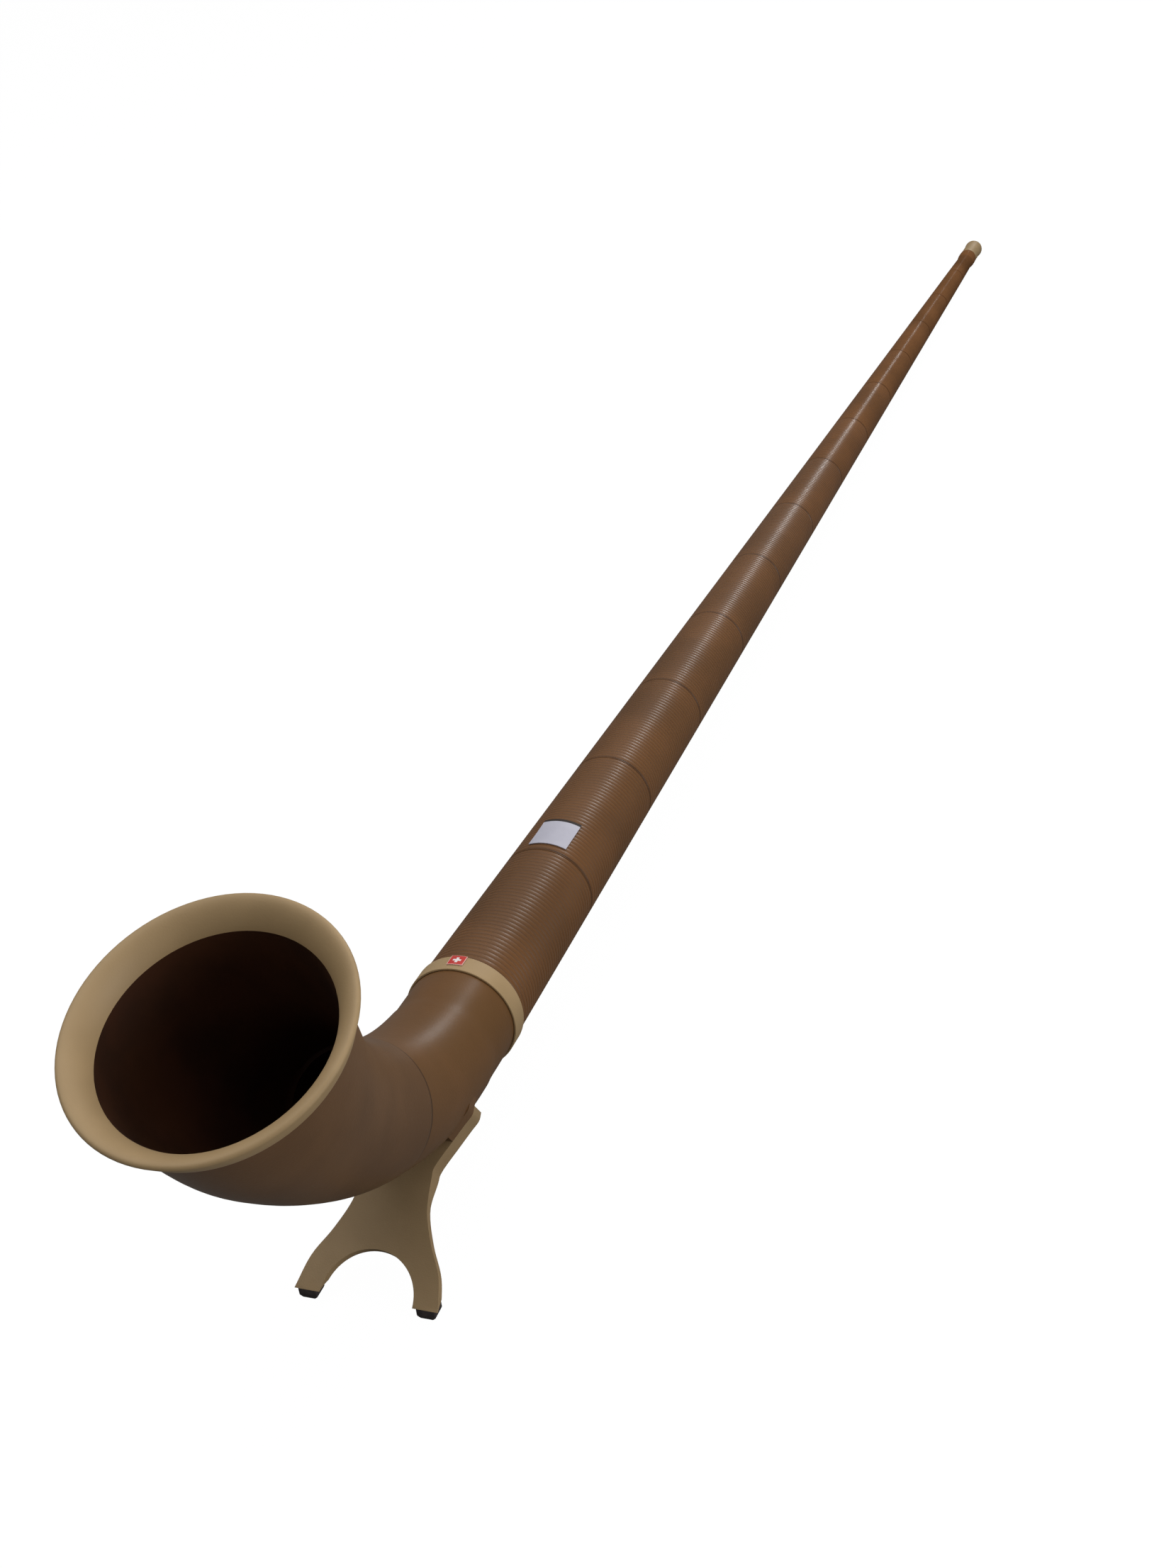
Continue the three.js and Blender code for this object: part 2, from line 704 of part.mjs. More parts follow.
// Each foot pad is a rubber block under the cut end of a leg, with its outer lower edges taken off
function addPads() {
  const foot = new THREE.Vector3().setFromMatrixPosition(standFrame()).applyMatrix4(horn.matrix);
  const depth = STAND_THICKNESS / Math.sin(STAND_RISE);
  const half = PAD_WIDTH / 2;
  const shape = new THREE.Shape([
    new THREE.Vector2(PAD_CHAMFER - half, 0),
    new THREE.Vector2(half - PAD_CHAMFER, 0),
    new THREE.Vector2(half, PAD_CHAMFER),
    new THREE.Vector2(half, PAD_HEIGHT),
    new THREE.Vector2(-half, PAD_HEIGHT),
    new THREE.Vector2(-half, PAD_CHAMFER),
  ]);
  for (const [name, side] of [["foot_pad_right", 1], ["foot_pad_left", -1]]) {
    const pad = new THREE.ExtrudeGeometry(shape, { depth, bevelEnabled: false });
    pad.rotateX(Math.PI / 2).translate((side * (FOOT_HALF_WIDTH + ARCH_RADIUS)) / 2, foot.y + depth, 0);
    piece(name, pad, footRubber, floor);
  }
}

// The horn is tipped until its ball is on the floor with the pads, then centred over the origin
horn.rotation.x = -REST_TILT;
horn.position.z = AXIS_HEIGHT;
horn.updateMatrix();
addRim();
addBell();
addElbow();
addCollar();
addTubes();
addLabel();
addReceiver();
addMouthpiece();
addStand();
addPads();

const alphorn = new THREE.Group();
alphorn.add(horn, floor);
const middle = new THREE.Box3().setFromObject(alphorn, true).getCenter(new THREE.Vector3());
horn.position.y = -middle.y;
floor.position.y = -middle.y;

export default alphorn;
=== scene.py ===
import math

import bpy
from mathutils import Matrix, Vector


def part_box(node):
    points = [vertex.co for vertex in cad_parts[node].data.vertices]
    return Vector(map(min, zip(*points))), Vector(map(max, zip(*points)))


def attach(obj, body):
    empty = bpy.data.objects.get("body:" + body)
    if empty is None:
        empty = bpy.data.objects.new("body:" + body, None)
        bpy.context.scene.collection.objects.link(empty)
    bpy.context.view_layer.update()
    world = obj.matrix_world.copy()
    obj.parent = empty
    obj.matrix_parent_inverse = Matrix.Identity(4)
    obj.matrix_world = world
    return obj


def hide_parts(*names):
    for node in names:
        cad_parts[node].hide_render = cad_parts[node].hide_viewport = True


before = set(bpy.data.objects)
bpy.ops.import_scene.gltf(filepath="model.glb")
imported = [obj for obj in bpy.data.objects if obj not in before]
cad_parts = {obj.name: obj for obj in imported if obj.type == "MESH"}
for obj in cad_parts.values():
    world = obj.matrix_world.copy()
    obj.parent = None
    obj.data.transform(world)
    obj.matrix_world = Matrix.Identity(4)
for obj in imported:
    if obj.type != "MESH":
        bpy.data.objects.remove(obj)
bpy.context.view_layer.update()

MM = 0.001
MERGE_DISTANCE = 0.00001

# The tubes
SECTION_COUNT = 13
SECTION_LENGTH = 204
TUBE_WIDE_RADIUS = 50.9
TUBE_THIN_RADIUS = 17.2
TUBE_WAIST = 0.55
WALL_WIDE = 4
WALL_THIN = 8
TUBES_LENGTH = SECTION_COUNT * SECTION_LENGTH

# The ridges round a tube, and the plain lips at its ends
RIDGE_COUNT = 34
RIDGE_DEPTH = 0.85
RIDGE_DEPTH_THIN = 0.25
RIDGE_SHAPE = ((0, 0), (0.14, 0.5), (0.3, 0.9), (0.5, 1), (0.7, 0.9), (0.86, 0.5))
LIP_START = 3
LIP_END = 1.6
LIP_CHAMFER = 0.7

# The plug-in joints
SPIGOT_DEPTH = 22
JOINT_GAP = 0.3
SEAL_WIDTH = 5
SEAL_GAP = 0.2
SEAL_SEAT_SHARE = 0.5
SPIGOT_EASE = 0.5

# The collar, its badge and the label
COLLAR_LENGTH = 20
COLLAR_PROUD = 2.1
COLLAR_EASE = 0.9
BADGE_WIDTH = 15
BADGE_LENGTH = 14
BADGE_TURN = -1.9
LABEL_LENGTH = 48
LABEL_WIDTH = 39.5
LABEL_TURN = 3.2
LABEL_OFFSET = 9.5
LABEL_LIFT = 0.7
FILM_THICKNESS = 0.8
FILM_EASE = 0.3

# The bend
NECK_LENGTH = 55.3
ELBOW_BEND_RADIUS = 317.4
ELBOW_TURN = math.radians(29.4)
BELL_BEND_RADIUS = 412.3
BELL_TURN = math.radians(36.67)
MOUTH_LENGTH = 22.2
SEAM = NECK_LENGTH + ELBOW_BEND_RADIUS * ELBOW_TURN
RIM_FRONT = SEAM + BELL_BEND_RADIUS * BELL_TURN + MOUTH_LENGTH

# The elbow and the bell
NECK_STEP = 1.1
NECK_STEP_LENGTH = 10
ELBOW_GROWTH = 6.4
BELL_PROUD = 0.7
BELL_GROWTH = 33.2
BELL_WALL = 4.3
BELL_SPIGOT_DEPTH = 22
BELL_FLARE = ((0, 0), (0.18, 0.13), (0.37, 0.28), (0.56, 0.5), (0.75, 0.77), (1, 1))
BEND_STEP = 7
ELBOW_END_RADIUS = TUBE_WIDE_RADIUS + NECK_STEP + ELBOW_GROWTH
BELL_START_RADIUS = ELBOW_END_RADIUS + BELL_PROUD
BELL_MOUTH_RADIUS = BELL_START_RADIUS + BELL_GROWTH
SEAM_EASE = 0.6

# The rim
RIM_DEPTH = 19.4
RIM_LIP_DEPTH = 3
RIM_FLARE = 17.8
RIM_EDGE = 2.8
RIM_OVERHANG = 9
RIM_EASE = 1.3
RIM_CURVE = 0.55
RIM_BACK = RIM_FRONT - RIM_DEPTH

# The mouthpiece and its receiver
RECEIVER_LENGTH = 172
RECEIVER_CUFF_LENGTH = 40
RECEIVER_STEP = 0.4
RECEIVER_CUFF_RADIUS = 17.2
SHANK_RADIUS = 8
SHANK_LENGTH = 34
MOUTHPIECE_NECK_RADIUS = 16.6
MOUTHPIECE_NECK_LENGTH = 60
BALL_RADIUS = 17.8
CUP_RADIUS = 9.5
CUP_DEPTH = 15
THROAT_RADIUS = 3
CUP_RIM_RADIUS = 12.5
CUP_LIP = 0.8
CUP_HOLLOW = 2.2
CUP_FALL = 0.9
SHANK_CHAMFER = 0.6
SHANK_LEAD = 0.8
RECEIVER_END = TUBES_LENGTH + RECEIVER_LENGTH
BALL_PLACE = RECEIVER_END + MOUTHPIECE_NECK_LENGTH + BALL_RADIUS

# The stand and its feet
AXIS_HEIGHT = 113.6
STAND_LEAN = math.radians(55)
FORK_PLACE = 122.4
FORK_DROP = 12.6
FOOT_HALF_WIDTH = 65
WAIST_HALF_WIDTH = 30.8
FORK_HALF_WIDTH = 53
STAND_THICKNESS = 8
FORK_THICKNESS = 18
ARCH_RADIUS = 42
WING_THICKNESS = 12
WING_REACH = 33
WING_RISE = 7
RIB_THICKNESS = 8
RIB_REACH = 48
RIB_HALF_WIDTH = 26
LET_IN = 1
PAD_WIDTH = 17
PAD_HEIGHT = 10
PAD_CHAMFER = 3
PAD_DRAW_IN = 0.9
PAD_EASE = 0.9
PAD_BEVEL_ABOVE = 25
STAND_EASE = 1.4
LEG_EDGE = ((0, 1), (0.165, 0.795), (0.308, 0.404), (0.458, 0.1), (0.62, 0))
ARM_EDGE = ((0.682, 0.03), (0.811, 0.48), (0.9, 0.8), (0.955, 1), (1, 1))
SWELL_START = 0.46
SWELL_END = 0.66
SWELL_CUTS = 5
PAD_TOP = PAD_HEIGHT + JOINT_GAP
REST_TILT = math.asin(AXIS_HEIGHT / math.hypot(BALL_PLACE, BALL_RADIUS)) - math.atan2(BALL_RADIUS, BALL_PLACE)
FORK_HEIGHT = AXIS_HEIGHT - FORK_DROP * math.cos(REST_TILT) + FORK_PLACE * math.sin(REST_TILT)
STAND_RISE = math.pi / 2 - STAND_LEAN - REST_TILT
STAND_HEIGHT = (FORK_HEIGHT - PAD_TOP) / math.sin(STAND_RISE)

# How finely each curve is drawn, and the angles that count as an edge, in degrees
TUBE_SIDES = 72
BELL_SIDES = 96
FILM_STEPS = 16
BALL_STEPS = 24
CUP_STEPS = 10
RIM_STEPS = 20
RIM_EASE_STEPS = 5
LIP_STEP = 10
FLARE_STEPS = 45
STAND_STEPS = 54
ARCH_STEPS = 40
BEVEL_SEGMENTS = 3
BEVEL_ABOVE = 38
SMOOTH_BELOW = 40

# The bore's lining: halvings to find a face's place on the bend, and how far outward it may look
LINING_HALVINGS = 12
LINING_OUTWARD = 0.4

# The tubes' gloss, which is held over a share of their length and then falls
TUBE_GLOSS = 0.27
TUBE_GLOSS_HELD = 0.42
TUBE_GLOSS_FALL = 12

# Painted shade and shadow that the materials draw as dark lines, as distances from the joint, the end of the
# cuff, the seam and the label; across the horn, a joint's shade grows heavier from the left distance to the
# right one
JOINT_LINE = 1.0
JOINT_LINE_END = 1.8
JOINT_LINE_LEFT = -10
JOINT_LINE_RIGHT = 20
CUFF_LINE = 2.6
CUFF_LINE_END = 1.8
SEAM_LINE = 3.6
SEAM_LINE_END = 1.8
LABEL_LINE = 4.2
LABEL_LINE_END = 3.6

# The badge's cross as shares of its length, and its border
BADGE_BAR = 0.085
BADGE_REACH = 0.27
BADGE_SOFT = 0.15
BADGE_BORDER = 0.55
BADGE_BORDER_END = 0.4

# The floor, in metres, and how white it looks to the camera
FLOOR_SIZE = 160
FLOOR_DROP = 0.0005
FLOOR_GREY = 0.2
FLOOR_WHITE = 1.16
FLOOR_WHITE_SHARE = 0.85

# The light, in metres, watts and degrees: each lamp's name, place, target, width, length, power and roll
WORLD_LIGHT = 0.24
LAMPS = (
    ("overhead", (-0.4, -0.6, 4.2), (0, -0.2, 0), 6.0, 7.0, 153, 0),
    ("side", (4.6, -2.0, 1.1), (0, -1.2, 0.1), 2.4, 2.4, 94, 0),
    ("back", (1.2, 8.0, 4.7), (0, -0.6, 0.1), 0.36, 8.6, 190, 26),
)

# The photograph's camera: its focal length and height in pixels, and its place and angles
PHOTO_FOCAL = 2700
PHOTO_HEIGHT = 2212
SENSOR = 36
CLIP_END = 200
CAMERA_PLACE = (0.654774, -2.480596, 1.125731)
CAMERA_ANGLES = (60.493364, 5.894457, 18.760778)

# The horn's frame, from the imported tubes: its zero is where the first tube meets the collar
LAST_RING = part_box("mouthpiece")[1].y - math.cos(REST_TILT) * MM * (
    BALL_PLACE + math.sqrt(BALL_RADIUS**2 - CUP_RIM_RADIUS**2)
)
HORN_PLACE = Vector((0, LAST_RING - math.sin(REST_TILT) * MM * CUP_RIM_RADIUS, AXIS_HEIGHT * MM))
HORN = Matrix.Translation(HORN_PLACE) @ Matrix.Rotation(-REST_TILT, 4, "X")


# Small helpers


def mix(low, high, share):
    return low + (high - low) * share


def smoothed(share):
    """The share with a slow start and a slow end."""
    return share * share * (3 - 2 * share)


def deselect():
    bpy.ops.object.select_all(action="DESELECT")


def named(name):
    """The object that was just added, with its mesh, under that name."""
    made = bpy.context.object
    made.name = name
    made.data.name = name
    return made


def smooth_curve(knots, count):
    """Points on a smooth curve through the knots, evenly spread between them."""
    ends = [2 * knots[0] - knots[1], *knots, 2 * knots[-1] - knots[-2]]
    points = []
    for index in range(count + 1):
        place = index / count * (len(knots) - 1)
        part = min(int(place), len(knots) - 2)
        t = place - part
        a, b, c, d = ends[part : part + 4]
        slope_in = (c - a) / 2
        slope_out = (d - b) / 2
        points.append(
            (2 * t**3 - 3 * t**2 + 1) * b
            + (t**3 - 2 * t**2 + t) * slope_in
            + (3 * t**2 - 2 * t**3) * c
            + (t**3 - t**2) * slope_out
        )
    return points


def eased(points, ease, steps=3):
    """A closed section with each of its corners rounded."""
    made = []
    for index, here in enumerate(points):
        corner = Vector(here)
        before = Vector(points[index - 1]) - corner
        after = Vector(points[(index + 1) % len(points)]) - corner
        reach = min(ease, before.length / 3, after.length / 3)
        start = corner + before.normalized() * reach
        end = corner + after.normalized() * reach
        for step in range(steps + 1):
            t = step / steps
            made.append(start * (1 - t) ** 2 + corner * 2 * t * (1 - t) + end * t**2)
    return [tuple(point) for point in made]


# Modelling by hand: a first point, traced on, spun, swept or filled


def first_point(name, place):
    deselect()
    bpy.ops.mesh.primitive_plane_add(size=MM, location=(0, 0, 0))
    made = named(name)
    bpy.ops.object.mode_set(mode="EDIT")
    bpy.ops.mesh.select_mode(type="VERT")
    bpy.ops.mesh.select_all(action="SELECT")
    bpy.ops.mesh.merge(type="CENTER")
    bpy.ops.transform.translate(value=place)
    return made


def trace(name, points):
    """An edge chain through the points, left in edit mode."""
    places = [Vector(point) * MM for point in points]
    made = first_point(name, places[0])
    for before, after in zip(places, places[1:]):
        bpy.ops.mesh.extrude_region_move(TRANSFORM_OT_translate={"value": after - before})
    return made


def close_up():
    bpy.ops.mesh.select_all(action="SELECT")
    bpy.ops.mesh.remove_doubles(threshold=MERGE_DISTANCE)
    bpy.ops.mesh.normals_make_consistent(inside=False)


def settle(made, matrix):
    """Leaves edit mode, puts the piece in its place and leaves its object at the origin."""
    bpy.ops.object.mode_set(mode="OBJECT")
    deselect()
    made.select_set(True)
    bpy.context.view_layer.objects.active = made
    made.matrix_world = matrix
    bpy.ops.object.transform_apply(location=True, rotation=True, scale=True)
    bpy.ops.object.shade_smooth_by_angle(angle=math.radians(SMOOTH_BELOW))
    return made


def turned(name, section, sides=TUBE_SIDES, matrix=HORN):
    """A closed section of (radius, place) pairs, spun round the Y axis."""
    points = [(radius, place, 0) for radius, place in section]
    made = trace(name, points + points[:1])
    bpy.ops.mesh.select_all(action="SELECT")
    bpy.ops.mesh.spin(steps=sides, angle=2 * math.pi, center=(0, 0, 0), axis=(0, 1, 0))
    close_up()
    return settle(made, matrix)


def wrapped(name, section, turn, width, radius):
    """A thin plate: a section of (radius, place) pairs, spun over part of the way round the top."""
    made = trace(name, [(radius, place, 0) for radius, place in section + section[:1]])
    bpy.ops.mesh.select_all(action="SELECT")
    bpy.ops.mesh.remove_doubles(threshold=MERGE_DISTANCE)
    bpy.ops.mesh.spin(steps=FILM_STEPS, angle=width / radius, center=(0, 0, 0), axis=(0, 1, 0))
    bpy.ops.mesh.select_all(action="SELECT")
    bpy.ops.mesh.select_non_manifold()
    bpy.ops.mesh.edge_face_add()
    close_up()
    bpy.ops.object.mode_set(mode="OBJECT")
    middle = sum((vertex.co for vertex in made.data.vertices), Vector()) / len(made.data.vertices)
    upright = math.atan2(middle.x, middle.z)
    return settle(made, HORN @ Matrix.Rotation(math.radians(turn) - upright, 4, "Y"))


def station(place):
    """Where the bend's centreline is at a length from the collar: Y, Z and its angle of rise."""
    y = z = angle = 0
    left = place
    stretches = (
        (NECK_LENGTH, 0),
        (ELBOW_BEND_RADIUS * ELBOW_TURN, ELBOW_TURN),
        (BELL_BEND_RADIUS * BELL_TURN, BELL_TURN),
        (RIM_FRONT, 0),
    )
    for length, turn in stretches:
        run = min(left, length)
        half = turn * run / length / 2
        chord = run * math.sin(half) / half if half else run
        y -= chord * math.cos(angle + half)
        z += chord * math.sin(angle + half)
        angle += 2 * half
        left -= run
        if left <= 0:
            break
    return y, z, angle


def straight_from(place, offset):
    """The station, moved on in a straight line."""
    y, z, angle = station(place)
    return y - offset * math.cos(angle), z + offset * math.sin(angle), angle


def frame_at(place):
    y, z, angle = station(place)
    side = Vector((-1, 0, 0))
    along = Vector((0, -math.cos(angle), math.sin(angle)))
    up = Vector((0, math.sin(angle), math.cos(angle)))
    turn = Matrix((side, along, up)).transposed().to_4x4()
    return Matrix.Translation(Vector((0, y, z)) * MM) @ turn


def swept(name, rings, closed=True):
    """A skin through rings of (radius, (Y, Z, angle)), each extruded from the one before."""
    radius, (y, z, angle) = rings[0]
    deselect()
    bpy.ops.mesh.primitive_circle_add(
        vertices=BELL_SIDES,
        radius=radius * MM,
        fill_type="NOTHING",
        location=(0, y * MM, z * MM),
        rotation=(math.pi / 2 - angle, 0, 0),
    )
    made = named(name)
    bpy.ops.object.transform_apply(location=True, rotation=True, scale=True)
    bpy.ops.object.mode_set(mode="EDIT")
    bpy.ops.mesh.select_mode(type="VERT")
    bpy.ops.mesh.select_all(action="SELECT")
    if not closed:
        bpy.ops.mesh.edge_face_add()
    for now_radius, (now_y, now_z, now_angle) in rings[1:] + (rings[:1] if closed else []):
        step = Vector((0, now_y - y, now_z - z)) * MM
        centre = Vector((0, now_y, now_z)) * MM
        bpy.ops.mesh.extrude_region_move(TRANSFORM_OT_translate={"value": step})
        grow = now_radius / radius
        if grow != 1:
            bpy.ops.transform.resize(value=(grow, grow, grow), center_override=centre)
        if now_angle != angle:
            bpy.ops.transform.rotate(value=now_angle - angle, orient_axis="X", center_override=centre)
        radius, y, z, angle = now_radius, now_y, now_z, now_angle
    close_up()
    return settle(made, HORN)


def plate(name, outline, front, back):
    """A flat outline, filled and extruded from its front to its back, left in edit mode."""
    made = trace(name, [(x, y, front) for x, y in outline + outline[:1]])
    bpy.ops.mesh.select_all(action="SELECT")
    bpy.ops.mesh.remove_doubles(threshold=MERGE_DISTANCE)
    bpy.ops.mesh.edge_face_add()
    bpy.ops.mesh.extrude_region_move(TRANSFORM_OT_translate={"value": (0, 0, (back - front) * MM)})
    close_up()
    return made


def cut(made, cutter):
    """Takes the cutter out of the piece, and removes the cutter."""
    bpy.context.view_layer.objects.active = made
    boolean = made.modifiers.new("cut", "BOOLEAN")
    boolean.operation = "DIFFERENCE"
    boolean.solver = "EXACT"
    boolean.object = cutter
    bpy.ops.object.modifier_apply(modifier=boolean.name)
    bpy.data.objects.remove(cutter)


def bevelled(made, width, above=BEVEL_ABOVE):
    """Rounds the edges that turn by more than that many degrees."""
    bpy.context.view_layer.objects.active = made
    bevel = made.modifiers.new("edges", "BEVEL")
    bevel.width = width * MM
    bevel.segments = BEVEL_SEGMENTS
    bevel.limit_method = "ANGLE"
    bevel.angle_limit = math.radians(above)
    bevel.use_clamp_overlap = True
    bpy.ops.object.modifier_apply(modifier=bevel.name)


def line_with(made, material):
    """Gives the faces that do not look away from the centreline a material of their own: the darker lining
    that paints the shade inside the bore.
    """
    made.data.materials.append(material)
    inverse = HORN.inverted()
    for face in made.data.polygons:
        centre = inverse @ face.center
        normal = inverse.to_3x3() @ face.normal
        low, high = 0, RIM_FRONT
        for _ in range(LINING_HALVINGS):
            middle = (low + high) / 2
            y, z, angle = station(middle)
            ahead = (centre.z / MM - z) * math.sin(angle) - (centre.y / MM - y) * math.cos(angle)
            low, high = (middle, high) if ahead > 0 else (low, middle)
        y, z, _ = station(low)
        outward = Vector((centre.x, centre.y - y * MM, centre.z - z * MM))
        if normal.dot(outward.normalized()) < LINING_OUTWARD:
            face.material_index = 1


def fit_on(made, body, material, slot, *nodes):
    """The finished piece gets its material, and stands for its nodes on its body."""
    made.data.materials.clear()
    made.data.materials.append(material)
    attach(made, body)
    if nodes:
        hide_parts(*nodes)


# Shader maths


class Value:
    """A node's output that takes Python's arithmetic."""

    def __init__(self, finish, socket):
        self.finish = finish
        self.socket = socket

    def math(self, operation, *others):
        values = dict(enumerate((self, *others)))
        return self.finish.node("Math", {"operation": operation}, values)

    def reflected(self, operation, other):
        return self.finish.node("Math", {"operation": operation}, {0: other, 1: self})

    def __add__(self, other):
        return self.math("ADD", other)

    def __sub__(self, other):
        return self.math("SUBTRACT", other)

    def __mul__(self, other):
        return self.math("MULTIPLY", other)

    def __truediv__(self, other):
        return self.math("DIVIDE", other)

    def __rsub__(self, other):
        return self.reflected("SUBTRACT", other)

    __radd__ = __add__
    __rmul__ = __mul__

    def between(self, low, high):
        """0 below low and 1 above high, with a smooth step between them."""
        settings = {"interpolation_type": "SMOOTHSTEP"}
        return self.finish.node("MapRange", settings, {"Value": self, "From Min": low, "From Max": high})


class Finish:
    """A material, with one method that adds any node."""

    def __init__(self, name, **constants):
        self.material = bpy.data.materials.new(name)
        self.material.use_nodes = True
        self.tree = self.material.node_tree
        self.surface = self.tree.nodes["Principled BSDF"]
        for socket, value in constants.items():
            self.surface.inputs[socket.replace("_", " ")].default_value = value

    def node(self, kind, settings=None, values=None, output=0):
        made = self.tree.nodes.new("ShaderNode" + kind)
        for name, value in (settings or {}).items():
            setattr(made, name, value)
        for name, value in (values or {}).items():
            self.feed(made.inputs[name], value)
        return Value(self, made.outputs[output])

    def feed(self, socket, value):
        if isinstance(value, Value):
            self.tree.links.new(value.socket, socket)
        else:
            socket.default_value = value

    def noise(self, coordinates, scale, detail=2.0, roughness=0.5):
        values = {"Vector": coordinates, "Scale": scale, "Detail": detail, "Roughness": roughness}
        return self.node("TexNoise", {}, values)

    def blend(self, share, low, high):
        """Two colours by a share. A Mix node keeps several sockets of each name, so they go by number."""
        return self.node("Mix", {"data_type": "RGBA"}, {0: share, 6: low, 7: high}, output=2)

    def horn_place(self):
        """Object coordinates in the horn's own frame, in metres."""
        place = self.node("TexCoord", output=3)
        values = {"Vector": place, "Location": HORN_PLACE, "Rotation": (-REST_TILT, 0, 0)}
        return self.node("Mapping", {"vector_type": "TEXTURE"}, values)

    def parts(self, vector):
        return [self.node("SeparateXYZ", {}, {0: vector}, output=index) for index in range(3)]

    def done(self, colour, roughness, height, depth):
        """The finished material, with bumps of that depth in metres."""
        self.feed(self.surface.inputs["Base Color"], colour)
        self.feed(self.surface.inputs["Roughness"], roughness)
        bump = self.node("Bump", {}, {"Strength": 1.0, "Distance": depth, "Height": height})
        self.feed(self.surface.inputs["Normal"], bump)
        return self.material


def srgb(red, green, blue):
    """A colour as it looks on a screen, 0 to 255, as a linear one."""
    shares = [channel / 255 for channel in (red, green, blue)]
    return (*[s / 12.92 if s <= 0.04045 else ((s + 0.055) / 1.055) ** 2.4 for s in shares], 1)


# Materials


def tube_plastic(name, start):
    """Satin brown, paler towards the thin end, mottled, with painted shade in the grooves, a dark line of
    painted shade at each joint, heavier towards +X, and another at the end of the cuff.

    The gloss of a tube that starts further along is lower.
    """
    gloss = TUBE_GLOSS * math.exp(-TUBE_GLOSS_FALL * max(0, start / TUBES_LENGTH - TUBE_GLOSS_HELD))
    finish = Finish(name, Specular_IOR_Level=gloss)
    place = finish.horn_place()
    side, along, up = finish.parts(place)
    wander = finish.noise(place, 9, 3)
    grain = finish.noise(place, 420, 2)
    scuffs = finish.noise(place, 60, 4, 0.65)
    paler = along.between(0.1, 2.6)
    share = along / (TUBES_LENGTH * MM)
    crest = TUBE_WIDE_RADIUS * MM + (TUBE_THIN_RADIUS - TUBE_WIDE_RADIUS) * MM * share
    crest = crest - 4 * TUBE_WAIST * MM * share * (1 - share)
    reached = (side * side + up * up).math("SQRT")
    depth = RIDGE_DEPTH * MM + (RIDGE_DEPTH_THIN - RIDGE_DEPTH) * MM * share
    # How deep a place lies below the crests; it paints shade into the grooves and makes them rougher
    groove = ((crest - reached) / depth).between(0.1, 1)
    # Painted shade in the gap at each joint: a dark line within a millimetre or two of it
    near_joint = along.math("PINGPONG", SECTION_LENGTH * MM / 2)
    joint_shade_line = 1 - near_joint.between(JOINT_LINE * MM, JOINT_LINE_END * MM)
    cuff_shade_line = along.between((RECEIVER_END - CUFF_LINE) * MM, (RECEIVER_END - CUFF_LINE_END) * MM)
    base = finish.blend(paler, srgb(112, 75, 41), srgb(128, 88, 56))
    deep = finish.blend(paler, srgb(100, 67, 36), srgb(116, 80, 51))
    colour = finish.blend(wander.between(0.35, 0.68), base, deep)
    colour = finish.blend(scuffs.between(0.62, 0.8) * 0.12, colour, srgb(140, 105, 72))
    # Painted shade in the grooves
    colour = finish.blend(groove * 0.25, colour, srgb(58, 38, 22))
    # Painted shade at the joints, heavier towards +X
    shaded_side = side.between(JOINT_LINE_LEFT * MM, JOINT_LINE_RIGHT * MM)
    colour = finish.blend(joint_shade_line * (0.25 + 0.35 * shaded_side), colour, srgb(45, 28, 18))
    # Painted shade as a dark line at the end of the cuff, next to the mouthpiece
    colour = finish.blend(cuff_shade_line * 0.6, colour, srgb(58, 38, 22))
    roughness = 0.28 + 0.08 * wander + 0.08 * scuffs + 0.1 * groove
    roughness = roughness * (1 - 0.45 * along.between(1.0, 2.2))
    return finish.done(colour, roughness, grain + 2 * scuffs, 0.00003)


def past_seam(finish, place):
    """How far a place lies beyond the seam between elbow and bell, in metres."""
    y, z, angle = station(SEAM)
    _, along, up = finish.parts(place)
    return (up - z * MM) * math.sin(angle) - (along - y * MM) * math.cos(angle)


def elbow_plastic():
    """Satin brown, mottled and specked, with a dark line of painted shade just before the bell, where the
    bell steps out.
    """
    finish = Finish("elbow_plastic", Specular_IOR_Level=0.22)
    place = finish.horn_place()
    wander = finish.noise(place, 11, 3)
    grain = finish.noise(place, 700, 2)
    specks = finish.noise(place, 160, 4, 0.7)
    colour = finish.blend(wander.between(0.35, 0.7), srgb(109, 76, 44), srgb(101, 71, 40))
    colour = finish.blend(specks.between(0.64, 0.8) * 0.2, colour, srgb(150, 116, 88))
    # Painted shade at the step where the bell stands proud of the elbow
    seam_shade_line = past_seam(finish, place).between(-SEAM_LINE * MM, -SEAM_LINE_END * MM)
    colour = finish.blend(seam_shade_line * 0.75, colour, srgb(40, 27, 18))
    return finish.done(colour, 0.3 + 0.08 * wander + 0.05 * specks, grain + specks, 0.00008)


def bell_plastic():
    """Brown like the elbow's, rougher and with a finer grain."""
    finish = Finish("bell_plastic", Specular_IOR_Level=0.34)
    place = finish.horn_place()
    wander = finish.noise(place, 12, 3)
    grain = finish.noise(place, 800, 2)
    specks = finish.noise(place, 220, 4, 0.7)
    colour = finish.blend(wander.between(0.35, 0.7), srgb(107, 77, 48), srgb(97, 69, 42))
    colour = finish.blend(specks.between(0.62, 0.8) * 0.22, colour, srgb(146, 122, 102))
    return finish.done(colour, 0.38 + 0.08 * wander + 0.05 * specks, grain + specks, 0.0001)


